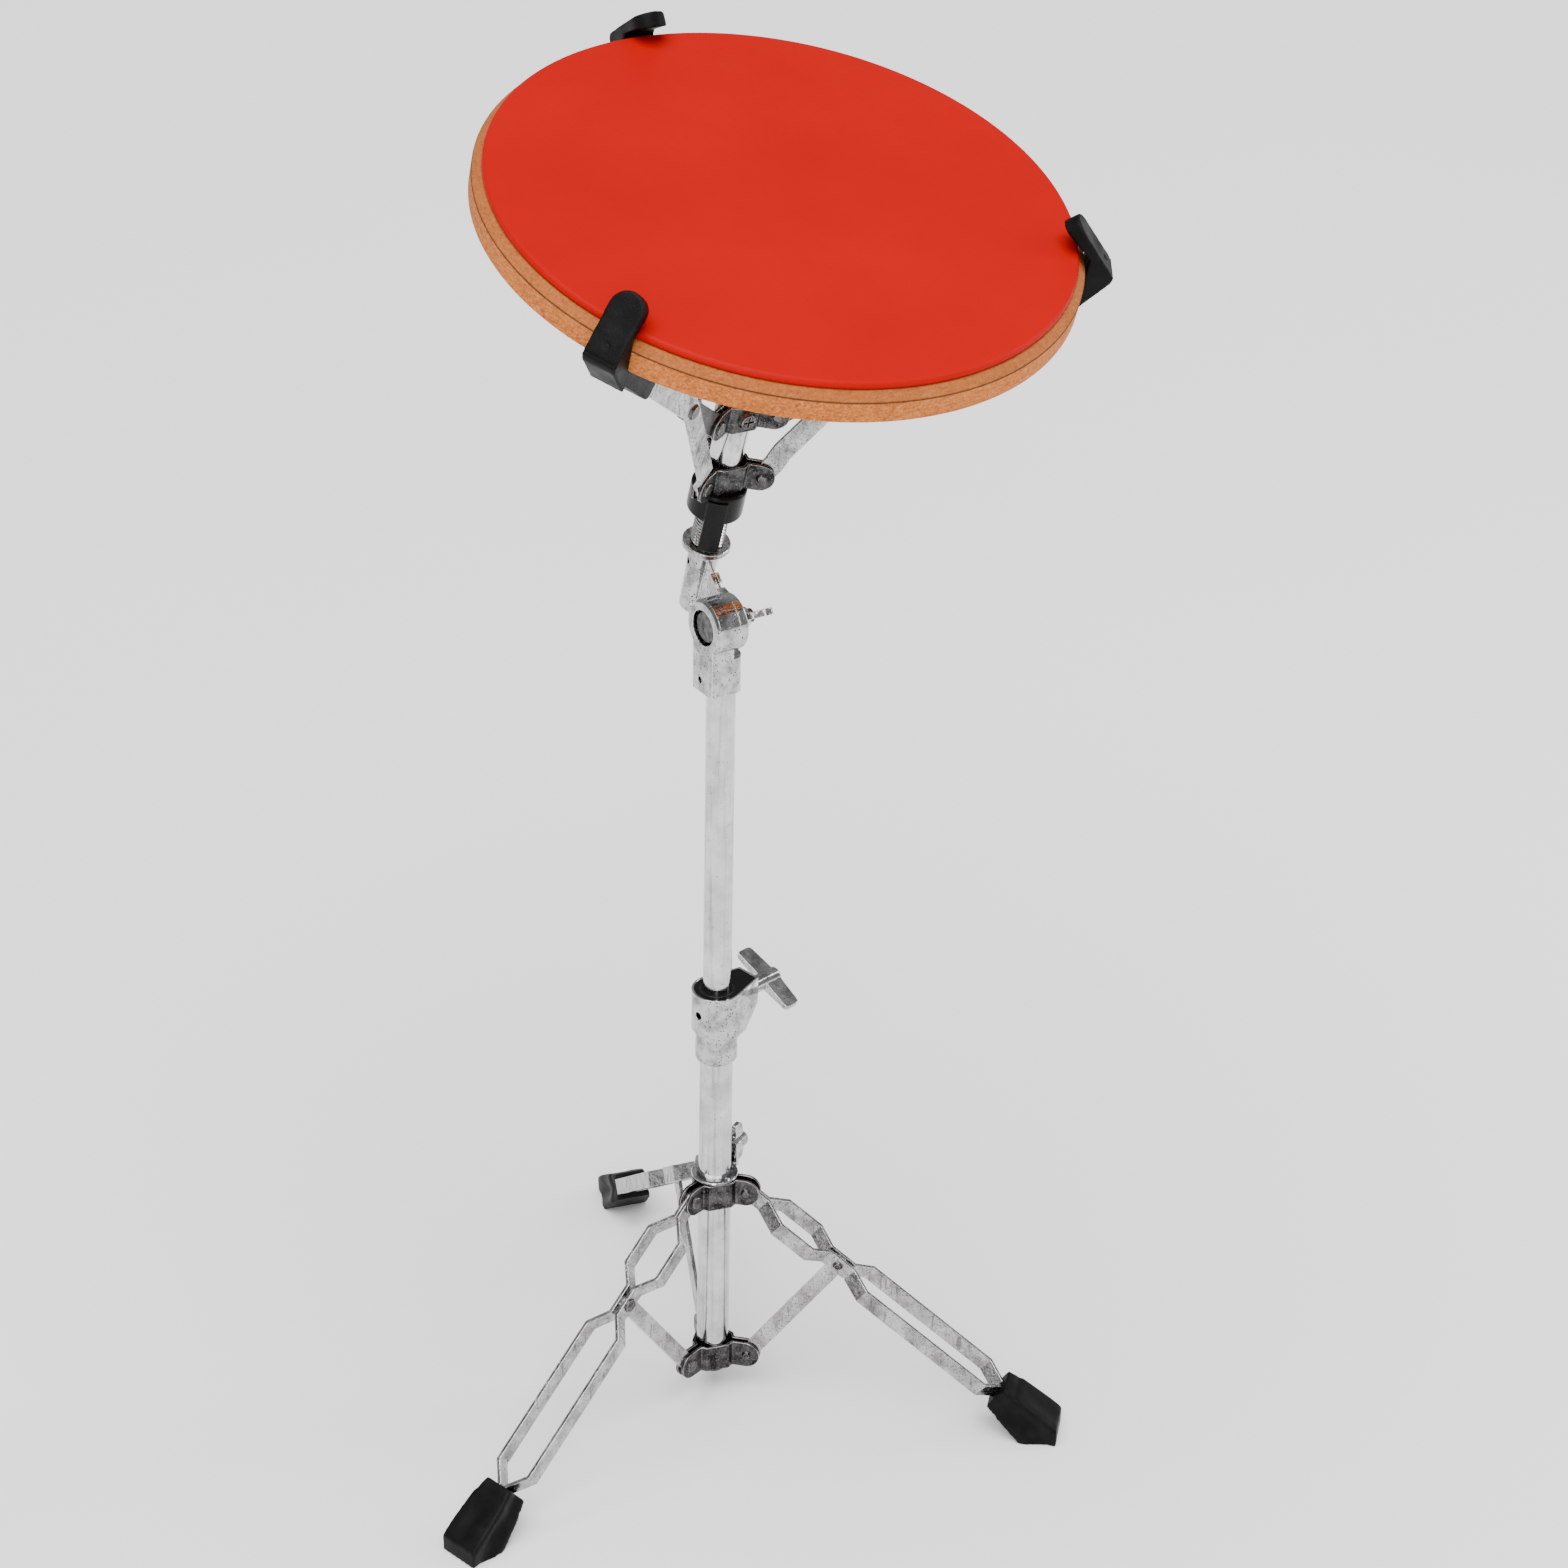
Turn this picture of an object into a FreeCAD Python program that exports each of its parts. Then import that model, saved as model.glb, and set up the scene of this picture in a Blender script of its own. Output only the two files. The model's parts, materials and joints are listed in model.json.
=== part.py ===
import FreeCAD, Part
import math
import os
import Sketcher
from FreeCAD import Placement, Rotation, Vector

# Practice pad on a basket stand: a round wooden board with a rubber face, held by three rubber
# grips of a screw-closed basket, on a tilter, a two-part tube and a double-braced folding tripod.
# Millimetres, +Z up. The origin is on the floor, under the axis of the tube. The tilter's hinge
# runs along X, and the pad leans towards -Y, where the player sits.

doc = FreeCAD.newDocument("PracticePad")
X, Y, Z = Vector(1, 0, 0), Vector(0, 1, 0), Vector(0, 0, 1)
PITCH = 120.0                     # legs, arms, lobes and grips stand 120 degrees apart
RUN = 0.06                        # radial clearance of a turning or sliding fit
FACE = 0.10                       # gap between flat faces that slide on each other

# ---------------------------------------------------------------- driving dimensions
DRIVING = {
    # pad
    "board_radius": 152.0, "board_thick": 15.0, "board_chamfer": 4.0,
    "rubber_radius": 147.5, "rubber_thick": 4.0, "rubber_round": 2.4,
    # tubes and height clamp
    "low_tube_radius": 9.5, "low_tube_wall": 1.2, "low_tube_bottom": 18.5, "low_tube_top": 262.0,
    "top_tube_radius": 8.0, "top_tube_wall": 1.2, "top_tube_bottom": 175.0,
    "clamp_top": 282.0, "clamp_body": 25.0, "clamp_sleeve": 21.0, "clamp_radius": 14.4,
    "sleeve_radius": 12.0, "clamp_flat": 25.0, "clamp_flat_half": 7.6, "clamp_bolt_height": 271.5,
    # tripod
    "collar_height": 145.9, "leg_pivot_radius": 19.45, "leg_slope": 37.6,
    "strut_joint": 70.0, "strut_pivot_radius": 21.5, "strut_pivot_height": 27.4,
    "strip_width": 9.6, "strip_thick": 2.0, "strut_thick": 2.5, "bow_half": 13.0,
    "lobe_thick": 1.5, "lobe_radius": 7.6, "rivet_radius": 2.4,
    # tilter
    "hinge_height": 510.0, "tilt_rest": 17.5, "head_radius": 15.5, "head_left": 11.9,
    "head_right": 1.9, "socket_half": 9.3, "socket_round": 10.5, "socket_drop": 38.5,
    "socket_top": 18.0, "tube_top": 19.5, "disc_thick": 5.2,
    "stem_offset": 35.5, "stem_side": 7.0, "post_radius": 8.6, "post_bottom": 18.8,
    # basket, heights along the stem above the hinge
    "pad_surface": 245.2, "top_lobe": 115.7, "low_lobe": 75.2, "stem_radius": 9.0,
    "stem_wall": 2.4, "stem_foot": 27.2, "stem_top": 124.0, "thread_top": 62.0,
    "thread_pitch": 2.0, "washer_radius": 13.1, "washer_thick": 3.0, "nut_radius": 15.0,
    "elbow_radius": 62.0, "elbow_height": 150.2, "arm_width": 11.0, "arm_thick": 2.5,
    "link_thick": 2.4, "grip_half": 9.0,
}

sheet = doc.addObject("Spreadsheet::Sheet", "Sheet")
for row, (alias, number) in enumerate(DRIVING.items(), start=1):
    sheet.set("A%d" % row, alias)
    sheet.set("B%d" % row, str(number))
    sheet.setAlias("B%d" % row, alias)
doc.recompute()


class Size:
    """A number that remembers the spreadsheet expression it comes from."""

    def __init__(self, number, text):
        self.number = float(number)
        self.text = text

    def __float__(self):
        return self.number

    def _join(self, other, sign, number):
        text = other.text if isinstance(other, Size) else repr(float(other))
        return Size(number, "(%s %s %s)" % (self.text, sign, text))

    def __add__(self, other):
        return self._join(other, "+", self.number + float(other))

    def __sub__(self, other):
        return self._join(other, "-", self.number - float(other))

    def __mul__(self, other):
        return self._join(other, "*", self.number * float(other))

    def __truediv__(self, other):
        return self._join(other, "/", self.number / float(other))

    def __radd__(self, other):
        return Size(other, repr(float(other))) + self

    def __rsub__(self, other):
        return Size(other, repr(float(other))) - self

    def __neg__(self):
        return Size(-self.number, "(0 - %s)" % self.text)


class Names:
    """The driving dimensions, each read as an attribute."""


d = Names()
for alias in DRIVING:
    setattr(d, alias, Size(sheet.get(alias), "Sheet." + alias))


def bind(target, prop, value):
    """Set a property, and tie it to the spreadsheet when the value comes from there."""
    setattr(target, prop, float(value))
    if isinstance(value, Size):
        target.setExpression(prop, value.text)


# ---------------------------------------------------------------- PartDesign helpers
NODES = []


def new_body(label):
    body = doc.addObject("PartDesign::Body", label)
    body.Label = label
    NODES.append(body)
    return body


def new_sketch(body, role, offset=0.0):
    """A sketch on one of the body's own origin planes, moved along that plane's normal."""
    plane = [o for o in body.Origin.OriginFeatures if o.Role == role][0]
    sketch = body.newObject("Sketcher::SketchObject", body.Name + "_sketch")
    sketch.AttachmentSupport = (plane, [""])
    sketch.MapMode = "FlatFace"
    if float(offset):
        sketch.AttachmentOffset = Placement(Vector(0, 0, float(offset)), Rotation())
        if isinstance(offset, Size):
            sketch.setExpression("AttachmentOffset.Base.z", offset.text)
    return sketch


def pin_point(sketch, index, vertex, point):
    """Fix one vertex of the sketch by its two distances from the origin."""
    for kind, value in zip(("DistanceX", "DistanceY"), point):
        number = sketch.addConstraint(
            Sketcher.Constraint(kind, -1, 1, index, vertex, float(value)))
        if isinstance(value, Size):
            sketch.setExpression("Constraints[%d]" % number, value.text)


def draw(sketch, points):
    """A closed outline of straight edges. A point given as (x, y, bulge) ends an arc whose
    middle stands that far to the right of the chord from the point before."""
    ends = [Vector(float(p[0]), float(p[1]), 0) for p in points]
    for i, p in enumerate(points):
        a, b = ends[i - 1], ends[i]
        if len(p) == 3:
            side = (b - a).cross(Z).normalize() * float(p[2])
            sketch.addGeometry(Part.Arc(a, (a + b) * 0.5 + side, b), False)
        else:
            sketch.addGeometry(Part.LineSegment(a, b), False)
    count = len(points)
    for i in range(count):
        arc = sketch.Geometry[i]
        last = 2
        if arc.TypeId == "Part::GeomArcOfCircle" and (arc.EndPoint - ends[i]).Length > 1e-6:
            last = 1
        nxt = (i + 1) % count
        following = sketch.Geometry[nxt]
        first = 1
        if following.TypeId == "Part::GeomArcOfCircle" and (following.StartPoint - ends[i]).Length > 1e-6:
            first = 2
        sketch.addConstraint(Sketcher.Constraint("Coincident", i, last, nxt, first))
        pin_point(sketch, i, last, points[i])
        if arc.TypeId == "Part::GeomArcOfCircle":
            sketch.addConstraint(Sketcher.Constraint("Radius", i, arc.Radius))


def draw_circle(sketch, centre, radius):
    middle = Vector(float(centre[0]), float(centre[1]), 0)
    index = sketch.addGeometry(Part.Circle(middle, Z, float(radius)), False)
    pin_point(sketch, index, 3, centre)
    number = sketch.addConstraint(Sketcher.Constraint("Radius", index, float(radius)))
    if isinstance(radius, Size):
        sketch.setExpression("Constraints[%d]" % number, radius.text)


def add_pad(body, sketch, length, both=True):
    pad = body.newObject("PartDesign::Pad", body.Name + "_pad")
    pad.Profile = sketch
    bind(pad, "Length", length)
    pad.Midplane = both
    body.Tip = pad
    doc.recompute()
    return pad


def cut_pocket(body, sketch, length, both=True, reverse=False):
    before = body.Shape.Volume
    pocket = body.newObject("PartDesign::Pocket", body.Name + "_pocket")
    pocket.Profile = sketch
    bind(pocket, "Length", length)
    pocket.Midplane = both
    pocket.Reversed = reverse
    body.Tip = pocket
    doc.recompute()
    if body.Shape.Volume > before - 1e-3:
        raise RuntimeError("a pocket of %s cuts nothing" % body.Label)
    return pocket


def turned(label, points, bore=None):
    """A body turned about Z from an outline of (radius, height) points."""
    body = new_body(label)
    sketch = new_sketch(body, "XZ_Plane")
    draw(sketch, points)
    doc.recompute()
    spin = body.newObject("PartDesign::Revolution", body.Name + "_turn")
    spin.Profile = sketch
    spin.ReferenceAxis = (sketch, ["V_Axis"])
    spin.Angle = 360.0
    body.Tip = spin
    doc.recompute()
    if bore is not None:
        hole = new_sketch(body, "XY_Plane")
        draw_circle(hole, (0, 0), bore)
        cut_pocket(body, hole, 2000.0)
    return body


def soften(body, edges, radius, kind="PartDesign::Fillet"):
    """Round or bevel the picked edges of the body's last feature."""
    names = ["Edge%d" % (i + 1) for i, e in enumerate(body.Shape.Edges) if edges(e)]
    if not names:
        raise RuntimeError("no edge to soften on " + body.Label)
    before = body.Tip
    softened = body.newObject(kind, body.Name + "_soft")
    softened.Base = (before, names)
    bind(softened, "Radius" if kind.endswith("Fillet") else "Size", radius)
    body.Tip = softened
    doc.recompute()


def feature(label, shape, placement=None):
    """A sub-part whose shape is built by Part functions."""
    item = doc.addObject("Part::Feature", label)
    item.Label = label
    item.Shape = shape
    if placement is not None:
        item.Placement = placement
    NODES.append(item)
    return item


# ---------------------------------------------------------------- Part helpers
def cylinder(radius, length, at=Vector(0, 0, 0), along=Z):
    return Part.makeCylinder(float(radius), float(length), at, along)


def box(low, high):
    low, high = Vector(*map(float, low)), Vector(*map(float, high))
    return Part.makeBox(high.x - low.x, high.y - low.y, high.z - low.z, low)


def prism(points, along):
    """The closed outline through the points, extruded along a vector."""
    wire = Part.makePolygon([Vector(*p) for p in points] + [Vector(*points[0])])
    return Part.Face(wire).extrude(along)


def ribbon(path, thick, width, bend):
    """A flat strip on edge, following a middle line in the xy plane, rounded at its bends."""
    sides = []
    last = len(path) - 1
    for way in (0.5, -0.5):
        row = []
        for i, (x, y) in enumerate(path):
            back, ahead = path[max(i - 1, 0)], path[min(i + 1, last)]
            turn_in = math.atan2(y - back[1], x - back[0]) if i else None
            turn_out = math.atan2(ahead[1] - y, ahead[0] - x) if i < last else turn_in
            turn_in = turn_out if turn_in is None else turn_in
            middle = (turn_in + turn_out) / 2
            reach = way * thick / math.cos((turn_out - turn_in) / 2)
            row.append((x - reach * math.sin(middle), y + reach * math.cos(middle), -width / 2))
        sides.append(row)
    strip = prism(sides[0] + sides[1][::-1], Z * width)
    ends = [path[0], path[-1]]
    bends = [e for e in strip.Edges if abs(e.Length - width) < 1e-6
             and all(math.hypot(e.BoundBox.XMin - x, e.BoundBox.YMin - y) > thick for x, y in ends)]
    return strip.makeFillet(bend, bends) if bend else strip


def joined(shapes):
    first = shapes[0]
    return first.fuse(shapes[1:]).removeSplitter() if len(shapes) > 1 else first


def turn_about_z(angle):
    return Placement(Vector(0, 0, 0), Rotation(Z, angle))


# ---------------------------------------------------------------- frames of the assembly
TRIPOD_TURN = -15.9               # the tripod's legs against the tilter's hinge
CLAMP_TURN = 10.0                 # the height clamp's wing bolt against the hinge
COLLAR_TURN = 26.0                # the leg collar's wing bolt against the hinge
BASKET_TURN = -3.2                # the basket's arms about the stem
LEG_AZIMUTHS = [90.0 + TRIPOD_TURN + PITCH * k for k in range(3)]
ARM_AZIMUTHS = [90.0 + BASKET_TURN + PITCH * k for k in range(3)]

basket_frame = Placement(Vector(0, 0, float(d.hinge_height)), Rotation(X, float(d.tilt_rest)))
stem_base = Vector(float(d.stem_side), float(d.stem_offset), 0)
basket_frame = basket_frame.multiply(Placement(stem_base, Rotation()))


def leg_frame(azimuth):
    """Origin at the leg's pivot, x down the leg, y round the tube, z square to the leg."""
    out = Placement(Vector(0, 0, 0), Rotation(Z, azimuth))
    pivot = Vector(float(d.leg_pivot_radius), 0, float(d.collar_height))
    return out.multiply(Placement(pivot, Rotation(Y, float(d.leg_slope))))


def arm_frame(azimuth):
    """Origin on the stem's axis at the hinge's level, x outwards, z up the stem."""
    return basket_frame.multiply(turn_about_z(azimuth))


# ---------------------------------------------------------------- pad
def make_pad():
    top, rubber = d.pad_surface, d.rubber_thick
    seat = top - rubber
    board = turned("pad_board", [
        (0, seat - d.board_thick), (d.board_radius, seat - d.board_thick),
        (d.board_radius, seat - d.board_chamfer),
        (d.board_radius - d.board_chamfer, seat), (0, seat)])
    edge = d.rubber_round
    bulge = -float(edge) * (1 - math.sqrt(0.5))
    face = turned("pad_rubber", [
        (0, seat), (d.rubber_radius, seat), (d.rubber_radius, top - edge),
        (d.rubber_radius - edge, top, 0.0 - bulge), (0, top)])
    for part in (board, face):
        part.Placement = basket_frame


# ---------------------------------------------------------------- tubes and height clamp
def teardrop(radius, flat, half, low, high):
    """The clamp's plan: a circle drawn out along x to a flat, as a prism from low to high."""
    radius, flat, half = float(radius), float(flat), float(half)
    reach = math.hypot(flat, half)
    touch = math.atan2(half, flat) + math.acos(radius / reach)
    tx, ty = radius * math.cos(touch), radius * math.sin(touch)
    wedge = prism([(0, 0, low), (tx, -ty, low), (flat, -half, low), (flat, half, low),
                   (tx, ty, low)], Z * (high - low))
    return cylinder(radius, high - low, Z * low).fuse(wedge).removeSplitter()


def make_tubes():
    wall = d.low_tube_wall
    turned("lower_tube", [
        (d.low_tube_radius - wall, d.low_tube_bottom), (d.low_tube_radius, d.low_tube_bottom),
        (d.low_tube_radius, d.low_tube_top), (d.low_tube_radius - wall, d.low_tube_top)])
    plug_radius = d.low_tube_radius - wall
    flange, insert = 2.0, 7.0
    turned("tube_plug", [
        (0, d.low_tube_bottom - flange), (d.low_tube_radius - 0.4, d.low_tube_bottom - flange),
        (d.low_tube_radius, d.low_tube_bottom - flange + 0.6), (d.low_tube_radius, d.low_tube_bottom),
        (plug_radius, d.low_tube_bottom), (plug_radius, d.low_tube_bottom + insert),
        (0, d.low_tube_bottom + insert)])
    inner = d.top_tube_radius - d.top_tube_wall
    top_end = d.hinge_height - d.tube_top
    turned("upper_tube", [
        (inner, d.top_tube_bottom), (d.top_tube_radius, d.top_tube_bottom),
        (d.top_tube_radius, top_end), (inner, top_end)])
    ring = d.low_tube_radius - wall - RUN
    foot = d.top_tube_bottom - FACE
    turned("tube_guide", [
        (0, foot - 4.0), (ring - 0.8, foot - 4.0), (ring, foot - 3.2), (ring, foot),
        (inner - RUN, foot), (inner - RUN, foot + 10.0), (0, foot + 10.0)])


WING_SHANK = 3.0                  # the wing bolts' shank radius


def make_height_clamp():
    top, radius = float(d.clamp_top), float(d.clamp_radius)
    step = top - float(d.clamp_body)
    foot = step - float(d.clamp_sleeve)
    round_edge = 2.0
    rim, recess = 1.2, 4.2
    face_drop, neck, neck_drop = 16.0, 12.0, 2.5   # the flat's face, then a slope in to the sleeve
    lobe = teardrop(radius, d.clamp_flat, d.clamp_flat_half, foot, top)
    slope = prism([(0, -radius, top), (float(d.clamp_flat), -radius, top),
                   (float(d.clamp_flat), -radius, top - face_drop), (neck, -radius, step - neck_drop),
                   (0, -radius, step - neck_drop)], Y * 2 * radius)
    sleeve = cylinder(d.sleeve_radius, top - foot, Z * foot)
    lower = [e for e in sleeve.Edges if abs(e.BoundBox.ZMax - foot) < 1e-6 and e.Length > 10]
    sleeve = sleeve.makeFillet(round_edge, lower)
    body = joined([lobe.common(slope), cylinder(radius, top - step, Z * step), sleeve])
    seat = teardrop(radius - rim, float(d.clamp_flat) - rim, float(d.clamp_flat_half) - 0.6,
                    top - recess, top)
    bolt_hole = cylinder(WING_SHANK + RUN, 40, Z * float(d.clamp_bolt_height), X)
    pin_hole = cylinder(2.4, 40, Z * (float(d.clamp_bolt_height) - 2.0) - X * 40, X)
    body = body.cut([seat, cylinder(d.low_tube_radius, 80, Z * (foot - 1)), bolt_hole, pin_hole])
    turn = turn_about_z(CLAMP_TURN)
    feature("height_clamp", body, turn)

    lip = 0.4
    bush = joined([
        teardrop(radius - rim, float(d.clamp_flat) - rim, float(d.clamp_flat_half) - 0.6,
                 top - recess, top - lip),
        cylinder(d.low_tube_radius, top - recess - float(d.low_tube_top), Z * float(d.low_tube_top)),
        cylinder(float(d.top_tube_radius) + 1.6, recess, Z * (top - recess))])
    bore = cylinder(float(d.top_tube_radius) + RUN, 80, Z * 240)
    bush = bush.cut([bore, bolt_hole])
    feature("clamp_bush", bush, turn)


def blade(inner, outer, span, root_thick, tip_thick, corner):
    """One flat wing from the x axis out along y, thinner towards its tip, its tip rounded."""
    sections = []
    for y, low, high, thick in ((0.0, inner, outer, root_thick),
                                (span, inner + 0.6, outer - 0.6, tip_thick)):
        half = thick / 2
        sections.append(Part.makePolygon([
            Vector(low, y, -half), Vector(high, y, -half), Vector(high, y, half),
            Vector(low, y, half), Vector(low, y, -half)]))
    wing = Part.makeLoft(sections, True, True)
    plan = joined([box((inner - 1, 0, -5), (outer + 1, span - corner, 5)),
                   box((inner + 0.6 + corner, 0, -5), (outer - 0.6 - corner, span, 5)),
                   cylinder(corner, 10, Vector(inner + 0.6 + corner, span - corner, -5)),
                   cylinder(corner, 10, Vector(outer - 0.6 - corner, span - corner, -5))])
    return wing.common(plan)


def wing_bolt(label, placement, tip, hub_start, hub_end, span, wing_width, root_thick, roll):
    """A T-shaped wing bolt along x: a shank, a round hub and two flat tapering wings."""
    hub_radius, end_round = 5.0, 1.2
    shank = cylinder(WING_SHANK, hub_start - tip + 1, X * tip, X)
    hub = cylinder(hub_radius, hub_end - hub_start, X * hub_start, X)
    rim = [e for e in hub.Edges if abs(e.BoundBox.XMax - hub_end) < 1e-6 and e.Length > 10]
    hub = hub.makeFillet(end_round, rim)
    outer = hub_end - end_round
    wings = []
    for side in (0.0, 180.0):
        wing = blade(outer - wing_width, outer, span, root_thick, 2.8, 2.2)
        wing.Placement = Placement(Vector(0, 0, 0), Rotation(X, side))
        wings.append(wing)
    body = joined([shank, hub] + wings)
    return feature(label, body, placement.multiply(Placement(Vector(0, 0, 0), Rotation(X, roll))))


def make_height_bolt():
    at = turn_about_z(CLAMP_TURN).multiply(Placement(Z * float(d.clamp_bolt_height), Rotation()))
    wing_bolt("height_wing_bolt", at, float(d.top_tube_radius) + 0.1,
              float(d.clamp_flat) + 1.5, float(d.clamp_flat) + 21.5, 22.5, 11.0, 6.4, 24.0)


# ---------------------------------------------------------------- brackets
def bracket_plate(tube_radius, reach, inner_gap, height):
    """One pressed plate: a flat held against the tube between two lobes, one beside each of two
    pivots, at azimuths 0 and 120 degrees."""
    thick = float(d.lobe_thick)
    side = inner_gap + thick / 2
    flat_half = 6.5
    out = tube_radius + thick / 2
    half_pitch = math.radians(PITCH / 2)
    crease = (out * math.cos(half_pitch) + flat_half * math.sin(half_pitch),
              out * math.sin(half_pitch) - flat_half * math.cos(half_pitch))
    lobe_root = crease[0] + (crease[1] - side) * 0.4
    near = [(reach, side), (lobe_root, side), crease]
    mirror = Placement(Vector(0, 0, 0), Rotation(Z, PITCH))
    far = [mirror.multVec(Vector(x, -y, 0)) for x, y in near]
    path = near + [(v.x, v.y) for v in reversed(far)]
    plate = ribbon(path, thick, height, 1.0)
    keep = []
    for azimuth in (0.0, PITCH):
        end = reach - height / 2
        lobe = cylinder(height / 2, 30, Vector(end, -15, 0), Y).fuse(
            box((0, -15, -height / 2), (end, 15, height / 2)))
        lobe.Placement = turn_about_z(azimuth)
        keep.append(lobe)
    return plate.common(joined(keep))


def bracket(label, placement, azimuths, tube_radius, reach, inner_gap, height, pivot_radius):
    """Three pressed plates round a tube, with a pivot hole through each pair of lobes."""
    plates = []
    plate = bracket_plate(tube_radius, reach, inner_gap, height)
    holes = []
    for azimuth in (0.0, PITCH):
        hole = cylinder(d.rivet_radius, 30, Vector(pivot_radius, -15, 0), Y)
        hole.Placement = turn_about_z(azimuth)
        holes.append(hole)
    plate = plate.cut(holes)
    for azimuth in azimuths:
        turned_plate = plate.copy()
        turned_plate.Placement = turn_about_z(azimuth)
        plates.append(turned_plate)
    return feature(label, Part.makeCompound(plates), placement)


def rivet(half, head, head_high, dome, dome_high, radius):
    """A rivet along y: a broad flat head on the +y side, a small formed dome on the other."""
    shank = cylinder(radius, 2 * half, Vector(0, -half, 0), Y)
    flat = Part.makeCone(head, head * 0.82, head_high, Vector(0, half, 0), Y)
    formed = Part.makeCone(dome, dome * 0.55, dome_high, Vector(0, -half, 0), Vector(0, -1, 0))
    return joined([shank, flat, formed])


def rivets(label, placement, azimuths, pivot_radius, half):
    shapes = []
    for azimuth in azimuths:
        one = rivet(half, 4.2, 1.2, 3.0, 1.3, float(d.rivet_radius) - RUN)
        one.Placement = turn_about_z(azimuth).multiply(Placement(X * pivot_radius, Rotation()))
        shapes.append(one)
    return feature(label, Part.makeCompound(shapes), placement)


def make_foot_bracket():
    gap = float(d.strut_thick) / 2 + FACE
    at = Placement(Z * float(d.strut_pivot_height), Rotation())
    radius = float(d.low_tube_radius)
    bracket("foot_bracket_plates", at, LEG_AZIMUTHS, radius, 29.0, gap, 17.0, float(d.strut_pivot_radius))
    rivets("foot_bracket_rivets", at, LEG_AZIMUTHS, float(d.strut_pivot_radius), gap + float(d.lobe_thick))


BOLT_RISE = 16.5                  # the collar's wing bolt stands this far above its pivots


def make_collar():
    height = float(d.collar_height)
    inner = d.low_tube_radius + RUN
    outer = inner + 1.0
    low, high, lip = d.collar_height - 9.0, d.collar_height + 11.0, 13.8
    sleeve = turned("collar_sleeve_turned", [
        (inner, low), (outer, low), (outer, high - 2.2), (lip - 0.9, high - 1.6),
        (lip, high - 0.8), (lip - 0.5, high), (inner + 1.2, high - 0.6), (inner, high - 1.6)])
    NODES.remove(sleeve)
    tab = box((12.2, -7.5, height + 9.4), (14.4, 7.5, height + 24.5))
    tab = tab.cut(cylinder(WING_SHANK + RUN, 10, Vector(8, 0, height + BOLT_RISE), X))
    tab.Placement = turn_about_z(COLLAR_TURN)
    tab = tab.cut(cylinder(float(inner), 60, Z * (height - 10)))
    root = box((12.2, -7.5, height + 9.4), (14.4, 7.5, height + 10.2))
    root.Placement = turn_about_z(COLLAR_TURN)
    feature("collar_sleeve", joined([sleeve.Shape, tab, root]))

    gap = float(d.strip_thick) + FACE
    at = Placement(Z * height, Rotation())
    radius = float(outer)
    bracket("collar_plates", at, LEG_AZIMUTHS, radius, 27.0, gap, 17.0, float(d.leg_pivot_radius))
    rivets("collar_rivets", at, LEG_AZIMUTHS, float(d.leg_pivot_radius), gap + float(d.lobe_thick))
    bolt = turn_about_z(COLLAR_TURN).multiply(Placement(Z * (height + BOLT_RISE), Rotation()))
    wing_bolt("collar_wing_bolt", bolt, float(d.low_tube_radius) + 0.1, 15.6, 31.0, 12.0, 8.5, 5.0, 88.0)


# ---------------------------------------------------------------- legs and struts
FOOT_START, FOOT_END = 193.5, 246.0   # the rubber foot's ends, down the leg from its pivot
STRIP_END = 212.0                 # the strips' end, inside the foot


def strip_shape(side):
    """One of a leg's two strips: closed at the pivot, the strut and the foot, bowed between."""
    thick, width = float(d.strip_thick), float(d.strip_width)
    near = (float(d.strut_thick) + thick) / 2 + FACE
    bow = float(d.bow_half) - thick / 2
    path = [(-width / 2, thick / 2), (13.0, thick / 2), (26.0, bow), (50.0, bow), (61.0, near),
            (79.0, near), (91.0, bow), (182.0, bow), (193.0, near), (STRIP_END, near)]
    strip = ribbon([(x, side * y) for x, y in path], thick, width, 1.2)
    rounder = cylinder(width / 2, 8, Vector(0, -4, 0), Y)
    keep = box((0, -20, -width), (230, 20, width)).fuse(rounder)
    holes = [cylinder(d.rivet_radius, 40, Vector(0, -20, 0), Y),
             cylinder(d.rivet_radius, 40, Vector(float(d.strut_joint), -20, 0), Y)]
    return strip.common(keep).cut(holes)


def leg_rivet():
    """The strut's rivet, in two headed halves: the strut turns in the gap between them."""
    near = float(d.strut_thick) / 2 + FACE
    outer = near + float(d.strip_thick)
    at = float(d.strut_joint)
    radius = float(d.rivet_radius)
    flat = cylinder(radius, outer - near, Vector(at, near, 0), Y)
    flat = flat.fuse(Part.makeCone(4.3, 3.6, 1.3, Vector(at, outer, 0), Y)).removeSplitter()
    dome = cylinder(radius, outer - near, Vector(at, -outer, 0), Y)
    dome = dome.fuse(Part.makeCone(3.1, 1.7, 1.4, Vector(at, -outer, 0), Vector(0, -1, 0)))
    return Part.makeCompound([flat, dome.removeSplitter()])


def foot_section(x, top_half, sole_half, high, low):
    """One cross-section of a rubber foot: a narrow top, hollow flanks and a broad sole."""
    waist = (top_half + sole_half) / 2 - 1.6
    return Part.makePolygon([
        Vector(x, -top_half, high), Vector(x, top_half, high), Vector(x, top_half + 0.6, high - 2.0),
        Vector(x, waist, (high + low) / 2), Vector(x, sole_half, low + 3.0), Vector(x, sole_half, low),
        Vector(x, -sole_half, low), Vector(x, -sole_half, low + 3.0), Vector(x, -waist, (high + low) / 2),
        Vector(x, -top_half - 0.6, high - 2.0), Vector(x, -top_half, high)])


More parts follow.
